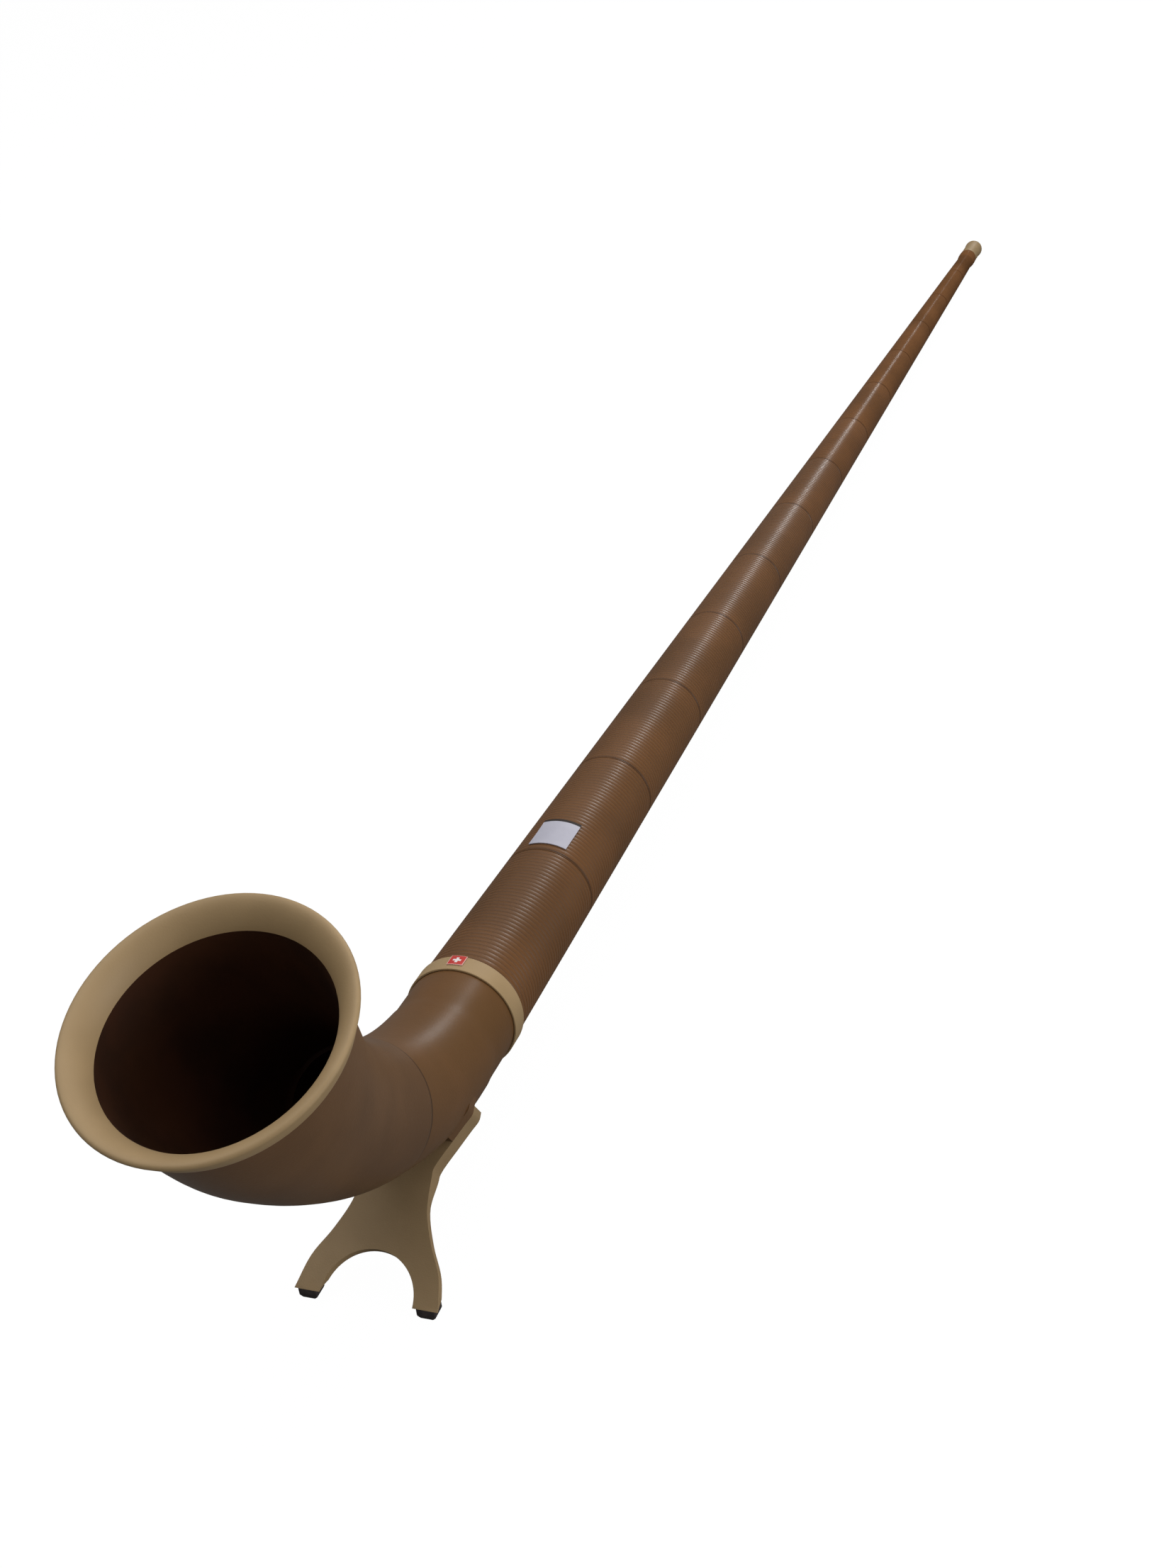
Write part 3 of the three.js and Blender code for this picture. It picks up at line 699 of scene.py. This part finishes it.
def beige_plastic(name, light, dark):
    """Matte beige with a fine grain and slight stains."""
    finish = Finish(name, Specular_IOR_Level=0.4)
    place = finish.node("TexCoord", output=3)
    wander = finish.noise(place, 14, 3)
    grain = finish.noise(place, 750, 2)
    stains = finish.noise(place, 45, 4, 0.65)
    colour = finish.blend(wander.between(0.35, 0.7), light, dark)
    colour = finish.blend(stains.between(0.6, 0.8) * 0.25, colour, srgb(146, 122, 86))
    return finish.done(colour, 0.5 + 0.12 * wander, grain + stains, 0.00008)


def bore_plastic():
    """The inside of the horn: a darker copy of the brown with a dull gloss, painted shade for the dark inside
    of the bore.
    """
    finish = Finish("bore_plastic")
    place = finish.horn_place()
    wander = finish.noise(place, 16, 3)
    grain = finish.noise(place, 600, 2)
    colour = finish.blend(wander.between(0.35, 0.7), srgb(66, 38, 22), srgb(50, 29, 17))
    return finish.done(colour, 0.36 + 0.12 * wander, grain, 0.00006)


def rubber(name, colour, worn):
    finish = Finish(name)
    place = finish.node("TexCoord", output=3)
    grain = finish.noise(place, 900, 3)
    wear = finish.noise(place, 130, 4, 0.7)
    mixed = finish.blend(wear.between(0.5, 0.8), colour, worn)
    return finish.done(mixed, 0.68 + 0.2 * wear, grain, 0.00015)


def label_film():
    """A bare silvery film with a brushed sheen along its width and a painted shadow as a dark line at its far
    edge, which is lifted.
    """
    finish = Finish("label_film", Specular_IOR_Level=0.3)
    place = finish.horn_place()
    stretch = finish.node("Mapping", {}, {"Vector": place, "Scale": (40, 900, 40)})
    brushed = finish.noise(stretch, 1, 2)
    cloud = finish.noise(place, 30, 2)
    colour = finish.blend(cloud.between(0.3, 0.7), srgb(190, 189, 201), srgb(180, 179, 192))
    _, along, _ = finish.parts(place)
    far = (SECTION_LENGTH + LABEL_OFFSET + LABEL_LENGTH) * MM
    # Painted shadow under the label's lifted far edge, drawn as a dark line on the film
    lifted_edge_shadow = along.between(far - LABEL_LINE * MM, far - LABEL_LINE_END * MM)
    colour = finish.blend(lifted_edge_shadow, colour, srgb(38, 31, 27))
    return finish.done(colour, 0.5 + 0.15 * brushed, brushed, 0.00002)


def badge_film():
    """Red with a plain white cross and a thin pale border."""
    finish = Finish("badge_film", Coat_Weight=0.3)
    place = finish.horn_place()
    turn = finish.node("Mapping", {}, {"Vector": place, "Rotation": (0, -math.radians(BADGE_TURN), 0)})
    side, along, _ = finish.parts(turn)
    middle = along + (BADGE_LENGTH / 2 + 2 * JOINT_GAP) * MM
    across = side.math("ABSOLUTE")
    ahead = middle.math("ABSOLUTE")
    bar = BADGE_LENGTH * BADGE_BAR * MM
    reach = BADGE_LENGTH * BADGE_REACH * MM
    soft = BADGE_SOFT * MM
    upright = (1 - across.between(bar, bar + soft)) * (1 - ahead.between(reach, reach + soft))
    level = (1 - ahead.between(bar, bar + soft)) * (1 - across.between(reach, reach + soft))
    half_width = BADGE_WIDTH / 2
    half_length = BADGE_LENGTH / 2
    edge_side = across.between((half_width - BADGE_BORDER) * MM, (half_width - BADGE_BORDER_END) * MM)
    edge_ahead = ahead.between((half_length - BADGE_BORDER) * MM, (half_length - BADGE_BORDER_END) * MM)
    cross = upright.math("MAXIMUM", level)
    border = edge_side.math("MAXIMUM", edge_ahead)
    wander = finish.noise(place, 200, 3)
    red = finish.blend(wander, srgb(206, 52, 42), srgb(190, 44, 38))
    colour = finish.blend(border, red, srgb(226, 180, 170))
    colour = finish.blend(cross, colour, srgb(240, 234, 232))
    return finish.done(colour, 0.35 + 0.1 * wander, wander, 0.00002)


# Pieces of the horn


def tube_radius(place):
    share = place / TUBES_LENGTH
    return mix(TUBE_WIDE_RADIUS, TUBE_THIN_RADIUS, share) - 4 * TUBE_WAIST * share * (1 - share)


def joint(radius, wall):
    """The radii of a plug-in joint, from the tube's outside and its wall."""
    skin = (wall - JOINT_GAP) / 2
    socket = radius - skin
    spigot = socket - JOINT_GAP
    seat = spigot - skin * SEAL_SEAT_SHARE
    return {"socket": socket, "spigot": spigot, "seat": seat, "bore": radius - wall}


def tube_joint(place):
    return joint(tube_radius(place), mix(WALL_WIDE, WALL_THIN, place / TUBES_LENGTH))


def bell_joint():
    return joint(BELL_START_RADIUS, BELL_WALL + BELL_PROUD)


def spigot_section(fit, shoulder, depth):
    tip = shoulder - depth
    step = tip + SEAL_WIDTH + SEAL_GAP
    lead = fit["seat"] - SPIGOT_EASE
    return [
        (fit["bore"], tip),
        (lead, tip),
        (fit["seat"], tip + SPIGOT_EASE),
        (fit["seat"], step),
        (fit["spigot"] - SPIGOT_EASE / 2, step),
        (fit["spigot"], step + SPIGOT_EASE / 2),
        (fit["spigot"], shoulder),
    ]


def seal_ring(name, body, material, fit, low, sides, matrix, node):
    inner = fit["seat"] + SEAL_GAP
    outer = fit["socket"] - SEAL_GAP
    high = low + SEAL_WIDTH
    section = eased([(inner, low), (outer, low), (outer, high), (inner, high)], (outer - inner) / 2, 4)
    made = turned(name, section, sides, matrix)
    fit_on(made, body, material, "seal_rubber", node)


def ridge_depth(place):
    """Grooves get shallower towards the thin end."""
    return mix(RIDGE_DEPTH, RIDGE_DEPTH_THIN, place / TUBES_LENGTH)


def ridges(start, end):
    """The outside of a tube: a lip, its ridges, and a lip."""
    section = [(tube_radius(start) - LIP_CHAMFER, start), (tube_radius(start), start + LIP_CHAMFER)]
    first = start + LIP_START
    pitch = (end - LIP_END - first) / RIDGE_COUNT
    for index in range(RIDGE_COUNT):
        for share, height in RIDGE_SHAPE:
            place = first + (index + share) * pitch
            section.append((tube_radius(place) - ridge_depth(place) * (1 - height), place))
    section.append((tube_radius(end) - ridge_depth(end), end - LIP_END))
    section.append((tube_radius(end), end - LIP_END * 0.7))
    section.append((tube_radius(end), end - LIP_CHAMFER * 0.5))
    section.append((tube_radius(end) - LIP_CHAMFER * 0.5, end))
    return section


def add_tubes(seal):
    for index in range(SECTION_COUNT):
        start = index * SECTION_LENGTH
        end = start + SECTION_LENGTH - JOINT_GAP
        number = f"{index + 1:02d}"
        following = tube_joint(end)
        section = [
            *spigot_section(tube_joint(start), start, SPIGOT_DEPTH),
            *ridges(start, end),
            (following["socket"] + SPIGOT_EASE / 2, end),
            (following["socket"], end - SPIGOT_EASE / 2),
            (following["socket"], end - SPIGOT_DEPTH),
            (following["bore"], end - SPIGOT_DEPTH),
        ]
        plastic = tube_plastic(f"tube_plastic_{number}", start)
        made = turned(f"tube_{number}_ridged", section)
        fit_on(made, f"tube_{number}", plastic, "brown_plastic", f"tube_{number}")
        seal_ring(
            f"tube_{number}_ring",
            f"tube_{number}",
            seal,
            tube_joint(start),
            start - SPIGOT_DEPTH,
            TUBE_SIDES,
            HORN,
            f"tube_seal_{number}",
        )


def add_receiver(plastic, seal):
    start = TUBES_LENGTH
    fit = tube_joint(start)
    cuff = RECEIVER_END - RECEIVER_CUFF_LENGTH
    waist = tube_radius(cuff) - RECEIVER_STEP
    socket = SHANK_RADIUS + JOINT_GAP
    floor = RECEIVER_END - SHANK_LENGTH - JOINT_GAP
    throat = (THROAT_RADIUS + SHANK_RADIUS) / 2
    section = [
        *spigot_section(fit, start, SPIGOT_DEPTH),
        (tube_radius(start) - LIP_CHAMFER, start),
        (tube_radius(start), start + LIP_CHAMFER),
        (mix(tube_radius(start), waist, 0.5), mix(start, cuff, 0.5)),
    ]
    for share in (0, 0.2, 0.4, 0.6, 0.8, 1):
        radius = mix(waist, RECEIVER_CUFF_RADIUS, smoothed(share))
        section.append((radius, cuff + share * RECEIVER_CUFF_LENGTH / 2))
    section += [
        (RECEIVER_CUFF_RADIUS, RECEIVER_END - 2 * LIP_CHAMFER),
        (RECEIVER_CUFF_RADIUS - 0.3 * LIP_CHAMFER, RECEIVER_END - LIP_CHAMFER * 0.7),
        (RECEIVER_CUFF_RADIUS - LIP_CHAMFER, RECEIVER_END),
        (socket + SPIGOT_EASE, RECEIVER_END),
        (socket, RECEIVER_END - SPIGOT_EASE),
        (socket, floor),
        (throat, floor),
    ]
    made = turned("receiver_tube", section)
    fit_on(made, "receiver", plastic, "brown_plastic", "receiver")
    low = start - SPIGOT_DEPTH
    seal_ring("receiver_ring", "receiver", seal, fit, low, TUBE_SIDES, HORN, "receiver_seal")


def add_mouthpiece(plastic):
    start = RECEIVER_END + JOINT_GAP
    tip = RECEIVER_END - SHANK_LENGTH
    throat = (THROAT_RADIUS + SHANK_RADIUS) / 2
    rim = BALL_PLACE + math.sqrt(BALL_RADIUS**2 - CUP_RIM_RADIUS**2)
    low = math.pi - math.asin(MOUTHPIECE_NECK_RADIUS / BALL_RADIUS)
    high = math.asin(CUP_RIM_RADIUS / BALL_RADIUS)
    ball = []
    for step in range(BALL_STEPS + 1):
        angle = mix(low, high, step / BALL_STEPS)
        ball.append((BALL_RADIUS * math.sin(angle), BALL_PLACE + BALL_RADIUS * math.cos(angle)))
    cup = []
    for step in range(CUP_STEPS + 1):
        share = step / CUP_STEPS
        radius = mix(CUP_RADIUS, THROAT_RADIUS, share**CUP_HOLLOW)
        cup.append((radius, rim - CUP_LIP - (CUP_DEPTH - CUP_LIP) * share**CUP_FALL))
    section = [
        (throat, tip),
        (SHANK_RADIUS - SHANK_CHAMFER, tip),
        (SHANK_RADIUS, tip + SHANK_LEAD),
        (SHANK_RADIUS, start),
        (MOUTHPIECE_NECK_RADIUS - 1, start),
        (MOUTHPIECE_NECK_RADIUS - 0.3, start + 0.3),
        (MOUTHPIECE_NECK_RADIUS, start + 1),
        *ball,
        (CUP_RIM_RADIUS - 1, rim + 0.35),
        (CUP_RADIUS + 1, rim + 0.3),
        (CUP_RADIUS + 0.3, rim - 0.1),
        *cup,
    ]
    made = turned("mouthpiece_turned", section)
    fit_on(made, "mouthpiece", plastic, "beige_plastic", "mouthpiece")


def add_collar(beige, badge_material):
    near = -JOINT_GAP
    far = near - COLLAR_LENGTH
    outer = TUBE_WIDE_RADIUS + COLLAR_PROUD
    corners = [(TUBE_WIDE_RADIUS, far), (outer, far), (outer, near), (TUBE_WIDE_RADIUS, near)]
    made = turned("collar_band", eased(corners, COLLAR_EASE, 4), BELL_SIDES)
    fit_on(made, "elbow", beige, "beige_plastic", "collar_ring")
    low = outer + JOINT_GAP
    high = low + FILM_THICKNESS
    end = near - JOINT_GAP
    start = end - BADGE_LENGTH
    corners = [(low, start), (high, start), (high, end), (low, end)]
    made = wrapped("collar_badge_film", eased(corners, FILM_EASE, 2), BADGE_TURN, BADGE_WIDTH, low)
    fit_on(made, "elbow", badge_material, "badge_red", "collar_badge")


def add_label(material):
    start = SECTION_LENGTH + LABEL_OFFSET
    end = start + LABEL_LENGTH
    low = tube_radius(start) + JOINT_GAP
    middle = tube_radius((start + end) / 2) + JOINT_GAP
    far = tube_radius(end) + JOINT_GAP + LABEL_LIFT
    section = [
        (low, start),
        (middle, (start + end) / 2),
        (far, end),
        (far + FILM_THICKNESS, end),
        (middle + FILM_THICKNESS, (start + end) / 2),
        (low + FILM_THICKNESS, start),
    ]
    made = wrapped("label_blank", section, LABEL_TURN, LABEL_WIDTH, low)
    fit_on(made, "tube_02", material, "label_film", "label_plate")


def elbow_radius(place):
    step_start = NECK_LENGTH + NECK_STEP_LENGTH
    step_end = step_start + NECK_STEP_LENGTH
    if place <= step_start:
        return TUBE_WIDE_RADIUS
    if place <= step_end:
        share = (place - step_start) / NECK_STEP_LENGTH
        return TUBE_WIDE_RADIUS + NECK_STEP * smoothed(share)
    share = (place - step_end) / (SEAM - step_end)
    return mix(TUBE_WIDE_RADIUS + NECK_STEP, ELBOW_END_RADIUS, share)


def places(low, high):
    """Places along the bend, evenly spread and no further apart than its step."""
    count = max(1, math.ceil(abs(high - low) / BEND_STEP))
    return [mix(low, high, index / count) for index in range(count + 1)]


def elbow_solid(name, offset):
    """The elbow's outside as a closed solid, that much bigger all round, to cut others with."""
    rings = [(elbow_radius(p) + offset, station(p)) for p in places(COLLAR_LENGTH + 1, SEAM)]
    return swept(name, rings, closed=False)


def stand_frame():
    across = Vector((1, 0, 0))
    up = Vector((0, math.sin(STAND_LEAN), math.cos(STAND_LEAN)))
    front = Vector((0, -math.cos(STAND_LEAN), math.sin(STAND_LEAN)))
    foot = Vector((0, -FORK_PLACE, -FORK_DROP)) - up * STAND_HEIGHT
    turn = Matrix((across, up, front)).transposed().to_4x4()
    return HORN @ Matrix.Translation(foot * MM) @ turn


def stand_edge():
    """The right-hand edge of the stand from the foot to the top."""
    knots = []
    for edge, end in ((LEG_EDGE, FOOT_HALF_WIDTH), (ARM_EDGE, FORK_HALF_WIDTH)):
        knots += [Vector((mix(WAIST_HALF_WIDTH, end, out), rise * STAND_HEIGHT)) for rise, out in edge]
    return [tuple(point) for point in smooth_curve(knots, STAND_STEPS)]


def add_elbow(plastic, bore):
    first = tube_joint(0)
    last = bell_joint()
    seat = TUBE_WIDE_RADIUS - JOINT_GAP
    band_end = COLLAR_LENGTH + 2 * JOINT_GAP
    tip = BELL_SPIGOT_DEPTH
    step = tip - SEAL_WIDTH - SEAL_GAP
    rings = [(seat, station(JOINT_GAP)), (seat, station(band_end))]
    rings.append((TUBE_WIDE_RADIUS - SEAM_EASE, station(band_end)))
    rings += [(elbow_radius(p), station(p)) for p in places(band_end + SEAM_EASE, SEAM - SEAM_EASE)]
    rings.append((ELBOW_END_RADIUS - SEAM_EASE, station(SEAM)))
    rings += [
        (last["spigot"], station(SEAM)),
        (last["spigot"], straight_from(SEAM, step)),
        (last["seat"], straight_from(SEAM, step)),
        (last["seat"], straight_from(SEAM, tip - SPIGOT_EASE)),
        (last["seat"] - SPIGOT_EASE, straight_from(SEAM, tip)),
        (last["bore"], straight_from(SEAM, tip)),
    ]
    inner = places(SEAM, SPIGOT_DEPTH + JOINT_GAP)
    rings += [(mix(first["bore"], last["bore"], p / SEAM), station(p)) for p in inner]
    rings += [
        (first["socket"], station(SPIGOT_DEPTH + JOINT_GAP)),
        (first["socket"], station(JOINT_GAP)),
    ]
    made = swept("elbow_shell", rings)
    fit_on(made, "elbow", plastic, "brown_plastic", "elbow")
    line_with(made, bore)


def let_into_elbow(name, outline, front, back, plastic):
    """A plate in the stand's own frame, cut so that it only just goes into the elbow's wall."""
    made = plate(name, outline, front, back)
    settle(made, stand_frame())
    cut(made, elbow_solid(f"{name}_cutter", -LET_IN))
    bevelled(made, STAND_EASE)
    settle(made, Matrix())
    fit_on(made, "elbow", plastic, "brown_plastic")


def add_wings(plastic):
    """Two wings before the fork and a rib behind it, let into the elbow's wall."""
    low = STAND_HEIGHT - WING_REACH
    right = [(x, y) for x, y in stand_edge() if y > low]
    right = [(right[0][0], low), *right, (FORK_HALF_WIDTH, STAND_HEIGHT + WING_RISE)]
    left = [(-x, y) for x, y in reversed(right)]
    let_into_elbow("elbow_wings", right + left, JOINT_GAP, JOINT_GAP + WING_THICKNESS, plastic)
    top = STAND_HEIGHT
    bottom = top - RIB_REACH
    outline = [
        (-RIB_HALF_WIDTH, bottom),
        (RIB_HALF_WIDTH, bottom),
        (RIB_HALF_WIDTH, top),
        (-RIB_HALF_WIDTH, top),
    ]
    back = -FORK_THICKNESS - JOINT_GAP
    let_into_elbow("elbow_rib", outline, back, back - RIB_THICKNESS, plastic)


def flare(low, high, start, end):
    """Radii that grow from low to high along the bell, as (radius, place) pairs."""
    knots = [Vector((mix(low, high, growth), mix(start, end, length))) for length, growth in BELL_FLARE]
    return [tuple(point) for point in smooth_curve(knots, FLARE_STEPS)]


def add_bell(plastic, bore, beige, seal):
    last = bell_joint()
    start = SEAM + JOINT_GAP
    end = RIM_BACK - JOINT_GAP
    mouth_bore = BELL_MOUTH_RADIUS - BELL_WALL
    outer = flare(BELL_START_RADIUS, BELL_MOUTH_RADIUS, start, end)
    inner = reversed(flare(last["bore"], mouth_bore, start, end))
    inner = [(radius, place) for radius, place in inner if place > SEAM + BELL_SPIGOT_DEPTH + 1]
    depth = BELL_SPIGOT_DEPTH + JOINT_GAP
    rings = [(BELL_START_RADIUS - SEAM_EASE, station(start))]
    rings += [(radius, station(max(place, start + SEAM_EASE))) for radius, place in outer]
    rings += [(radius, station(place)) for radius, place in inner]
    rings += [
        (last["bore"], straight_from(SEAM, depth)),
        (last["socket"], straight_from(SEAM, depth)),
        (last["socket"], straight_from(SEAM, JOINT_GAP)),
    ]
    made = swept("bell_shell", rings)
    fit_on(made, "bell", plastic, "bell_brown_plastic", "bell_body")
    line_with(made, bore)
    low = BELL_SPIGOT_DEPTH - SEAL_WIDTH
    seal_ring("bell_ring", "elbow", seal, last, low, BELL_SIDES, HORN @ frame_at(SEAM), "bell_seal")
    lip = mouth_bore + RIM_FLARE
    edge = lip + RIM_EDGE
    under = BELL_MOUTH_RADIUS + RIM_OVERHANG
    corners = [(mouth_bore, -RIM_DEPTH), (under, -RIM_DEPTH), (edge, -RIM_LIP_DEPTH)]
    corner_points = RIM_EASE_STEPS + 1
    section = eased(corners, RIM_EASE, RIM_EASE_STEPS)[corner_points : 2 * corner_points]
    section += [
        (lip + RIM_EDGE * math.cos(math.radians(angle)), RIM_LIP_DEPTH * (math.sin(math.radians(angle)) - 1))
        for angle in range(0, 91, LIP_STEP)
    ]
    for step in range(1, RIM_STEPS + 1):
        turn = math.pi / 2 * (1 - step / RIM_STEPS)
        curved = 1 - math.cos(turn)
        grown = mix(math.sin(turn), curved, RIM_CURVE)
        section.append((mouth_bore + RIM_FLARE * grown, (math.sin(turn) - 1) * RIM_DEPTH))
    made = turned("bell_rim_turned", section, BELL_SIDES, HORN @ frame_at(RIM_FRONT))
    fit_on(made, "bell", beige, "beige_plastic", "bell_rim")


def add_stand(beige, rubber_material):
    right = stand_edge()
    left = [(-x, y) for x, y in reversed(right)]
    angles = [math.pi * step / ARCH_STEPS for step in range(ARCH_STEPS + 1)]
    arch = [(ARCH_RADIUS * math.cos(angle), ARCH_RADIUS * math.sin(angle)) for angle in angles]
    outline = [(ARCH_RADIUS, -ARCH_RADIUS), (FOOT_HALF_WIDTH, -ARCH_RADIUS), *right, *left]
    outline += [(-FOOT_HALF_WIDTH, -ARCH_RADIUS), (-ARCH_RADIUS, -ARCH_RADIUS), *reversed(arch)]
    made = plate("stand_plate", outline, 0, -FORK_THICKNESS)
    for index in range(SWELL_CUTS + 1):
        height = mix(SWELL_START, SWELL_END, index / SWELL_CUTS) * STAND_HEIGHT * MM
        bpy.ops.mesh.select_all(action="SELECT")
        bpy.ops.mesh.bisect(plane_co=(0, height, 0), plane_no=(0, 1, 0))
    bpy.ops.object.mode_set(mode="OBJECT")
    for vertex in made.data.vertices:
        share = (vertex.co.y / MM / STAND_HEIGHT - SWELL_START) / (SWELL_END - SWELL_START)
        share = min(max(share, 0), 1)
        thickness = mix(STAND_THICKNESS, FORK_THICKNESS, smoothed(share))
        if vertex.co.z < -MM:
            vertex.co.z = -thickness * MM
    settle(made, stand_frame())
    bpy.ops.object.mode_set(mode="EDIT")
    bpy.ops.mesh.select_all(action="SELECT")
    bpy.ops.mesh.bisect(plane_co=(0, 0, PAD_TOP * MM), plane_no=(0, 0, -1), clear_outer=True, use_fill=True)
    bpy.ops.object.mode_set(mode="OBJECT")
    cut(made, elbow_solid("fork_cutter", JOINT_GAP))
    bevelled(made, STAND_EASE)
    settle(made, Matrix())
    fit_on(made, "stand", beige, "beige_plastic", "stand")
    for node in ("foot_pad_right", "foot_pad_left"):
        low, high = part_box(node)
        add_pad(node + "_moulded", low, high, rubber_material, node)


def add_pad(name, low, high, material, node):
    """A rubber block with its lower edges drawn in and all its edges rounded."""
    deselect()
    bpy.ops.mesh.primitive_cube_add(size=1, location=(low + high) / 2, scale=high - low)
    made = named(name)
    bpy.ops.object.transform_apply(location=True, rotation=True, scale=True)
    bpy.ops.object.mode_set(mode="EDIT")
    bpy.ops.mesh.select_all(action="SELECT")
    bpy.ops.mesh.bisect(plane_co=(0, 0, PAD_CHAMFER * MM), plane_no=(0, 0, 1))
    bpy.ops.mesh.select_mode(type="VERT")
    bpy.ops.mesh.select_all(action="DESELECT")
    bpy.ops.object.mode_set(mode="OBJECT")
    for vertex in made.data.vertices:
        vertex.select = vertex.co.z < PAD_CHAMFER * MM / 2
    bpy.ops.object.mode_set(mode="EDIT")
    draw_in = 1 - 2 * PAD_CHAMFER / PAD_WIDTH
    centre = Vector(((low.x + high.x) / 2, (low.y + high.y) / 2, 0))
    bpy.ops.transform.resize(value=(draw_in, PAD_DRAW_IN, 1), center_override=centre)
    bpy.ops.object.mode_set(mode="OBJECT")
    bevelled(made, PAD_EASE, PAD_BEVEL_ABOVE)
    settle(made, Matrix())
    fit_on(made, "stand", material, "foot_rubber", node)


# Floor, light and camera


def add_floor():
    deselect()
    bpy.ops.mesh.primitive_plane_add(size=FLOOR_SIZE, location=(0, 0, -FLOOR_DROP))
    floor = bpy.context.object
    floor.name = "floor"
    finish = Finish("floor_white")
    finish.surface.inputs["Base Color"].default_value = (FLOOR_GREY, FLOOR_GREY, FLOOR_GREY, 1)
    finish.surface.inputs["Roughness"].default_value = 0.9
    finish.surface.inputs["Specular IOR Level"].default_value = 0.0
    camera_ray = finish.node("LightPath", output=0)
    white = finish.node("Emission", {}, {"Color": (1, 1, 1, 1), "Strength": FLOOR_WHITE})
    lit = Value(finish, finish.surface.outputs[0])
    shown = finish.node("MixShader", {}, {0: camera_ray * FLOOR_WHITE_SHARE, 1: lit, 2: white})
    finish.tree.links.new(shown.socket, finish.tree.nodes["Material Output"].inputs["Surface"])
    floor.data.materials.append(finish.material)


def add_lamp(name, place, target, width, length, power, roll):
    deselect()
    bpy.ops.object.light_add(type="AREA", location=place)
    lamp = bpy.context.object
    lamp.name = name
    aim = (Vector(target) - Vector(place)).to_track_quat("-Z", "Y").to_matrix()
    lamp.rotation_euler = (aim @ Matrix.Rotation(math.radians(roll), 3, "Z")).to_euler()
    lamp.data.shape = "RECTANGLE"
    lamp.data.size = width
    lamp.data.size_y = length
    lamp.data.energy = power


def add_light():
    world = bpy.data.worlds.new("studio")
    world.use_nodes = True
    bpy.context.scene.world = world
    world.node_tree.nodes["Background"].inputs["Color"].default_value = (1, 1, 1, 1)
    world.node_tree.nodes["Background"].inputs["Strength"].default_value = WORLD_LIGHT
    for lamp in LAMPS:
        add_lamp(*lamp)


def add_camera():
    """The photograph's angle."""
    data = bpy.data.cameras.new("camera")
    camera = bpy.data.objects.new("camera", data)
    bpy.context.scene.collection.objects.link(camera)
    data.sensor_width = SENSOR
    data.lens = SENSOR * PHOTO_FOCAL / PHOTO_HEIGHT
    data.clip_end = CLIP_END
    camera.location = CAMERA_PLACE
    camera.rotation_euler = [math.radians(angle) for angle in CAMERA_ANGLES]
    bpy.context.scene.camera = camera


bpy.context.scene.view_settings.view_transform = "Standard"
add_camera()
add_floor()
add_light()

elbow_brown = elbow_plastic()
bell_brown = bell_plastic()
# The bore's lining: a darker copy of the brown, painted shade for the inside of the horn
bore_shade_brown = bore_plastic()
beige = beige_plastic("beige_plastic", srgb(170, 143, 104), srgb(160, 134, 96))
# The stand's beige is a darker copy of the rim's beige: painted shade on the stand
shaded_stand_beige = beige_plastic("shaded_stand_beige", srgb(160, 134, 98), srgb(150, 125, 90))
seal_rubber = rubber("seal_rubber", srgb(38, 36, 35), srgb(58, 54, 52))
foot_rubber = rubber("foot_rubber", srgb(52, 44, 44), srgb(74, 64, 62))

add_bell(bell_brown, bore_shade_brown, beige, seal_rubber)
add_elbow(elbow_brown, bore_shade_brown)
add_wings(bell_brown)
add_collar(beige, badge_film())
add_tubes(seal_rubber)
add_label(label_film())
add_receiver(tube_plastic("receiver_plastic", TUBES_LENGTH), seal_rubber)
add_mouthpiece(beige)
add_stand(shaded_stand_beige, foot_rubber)
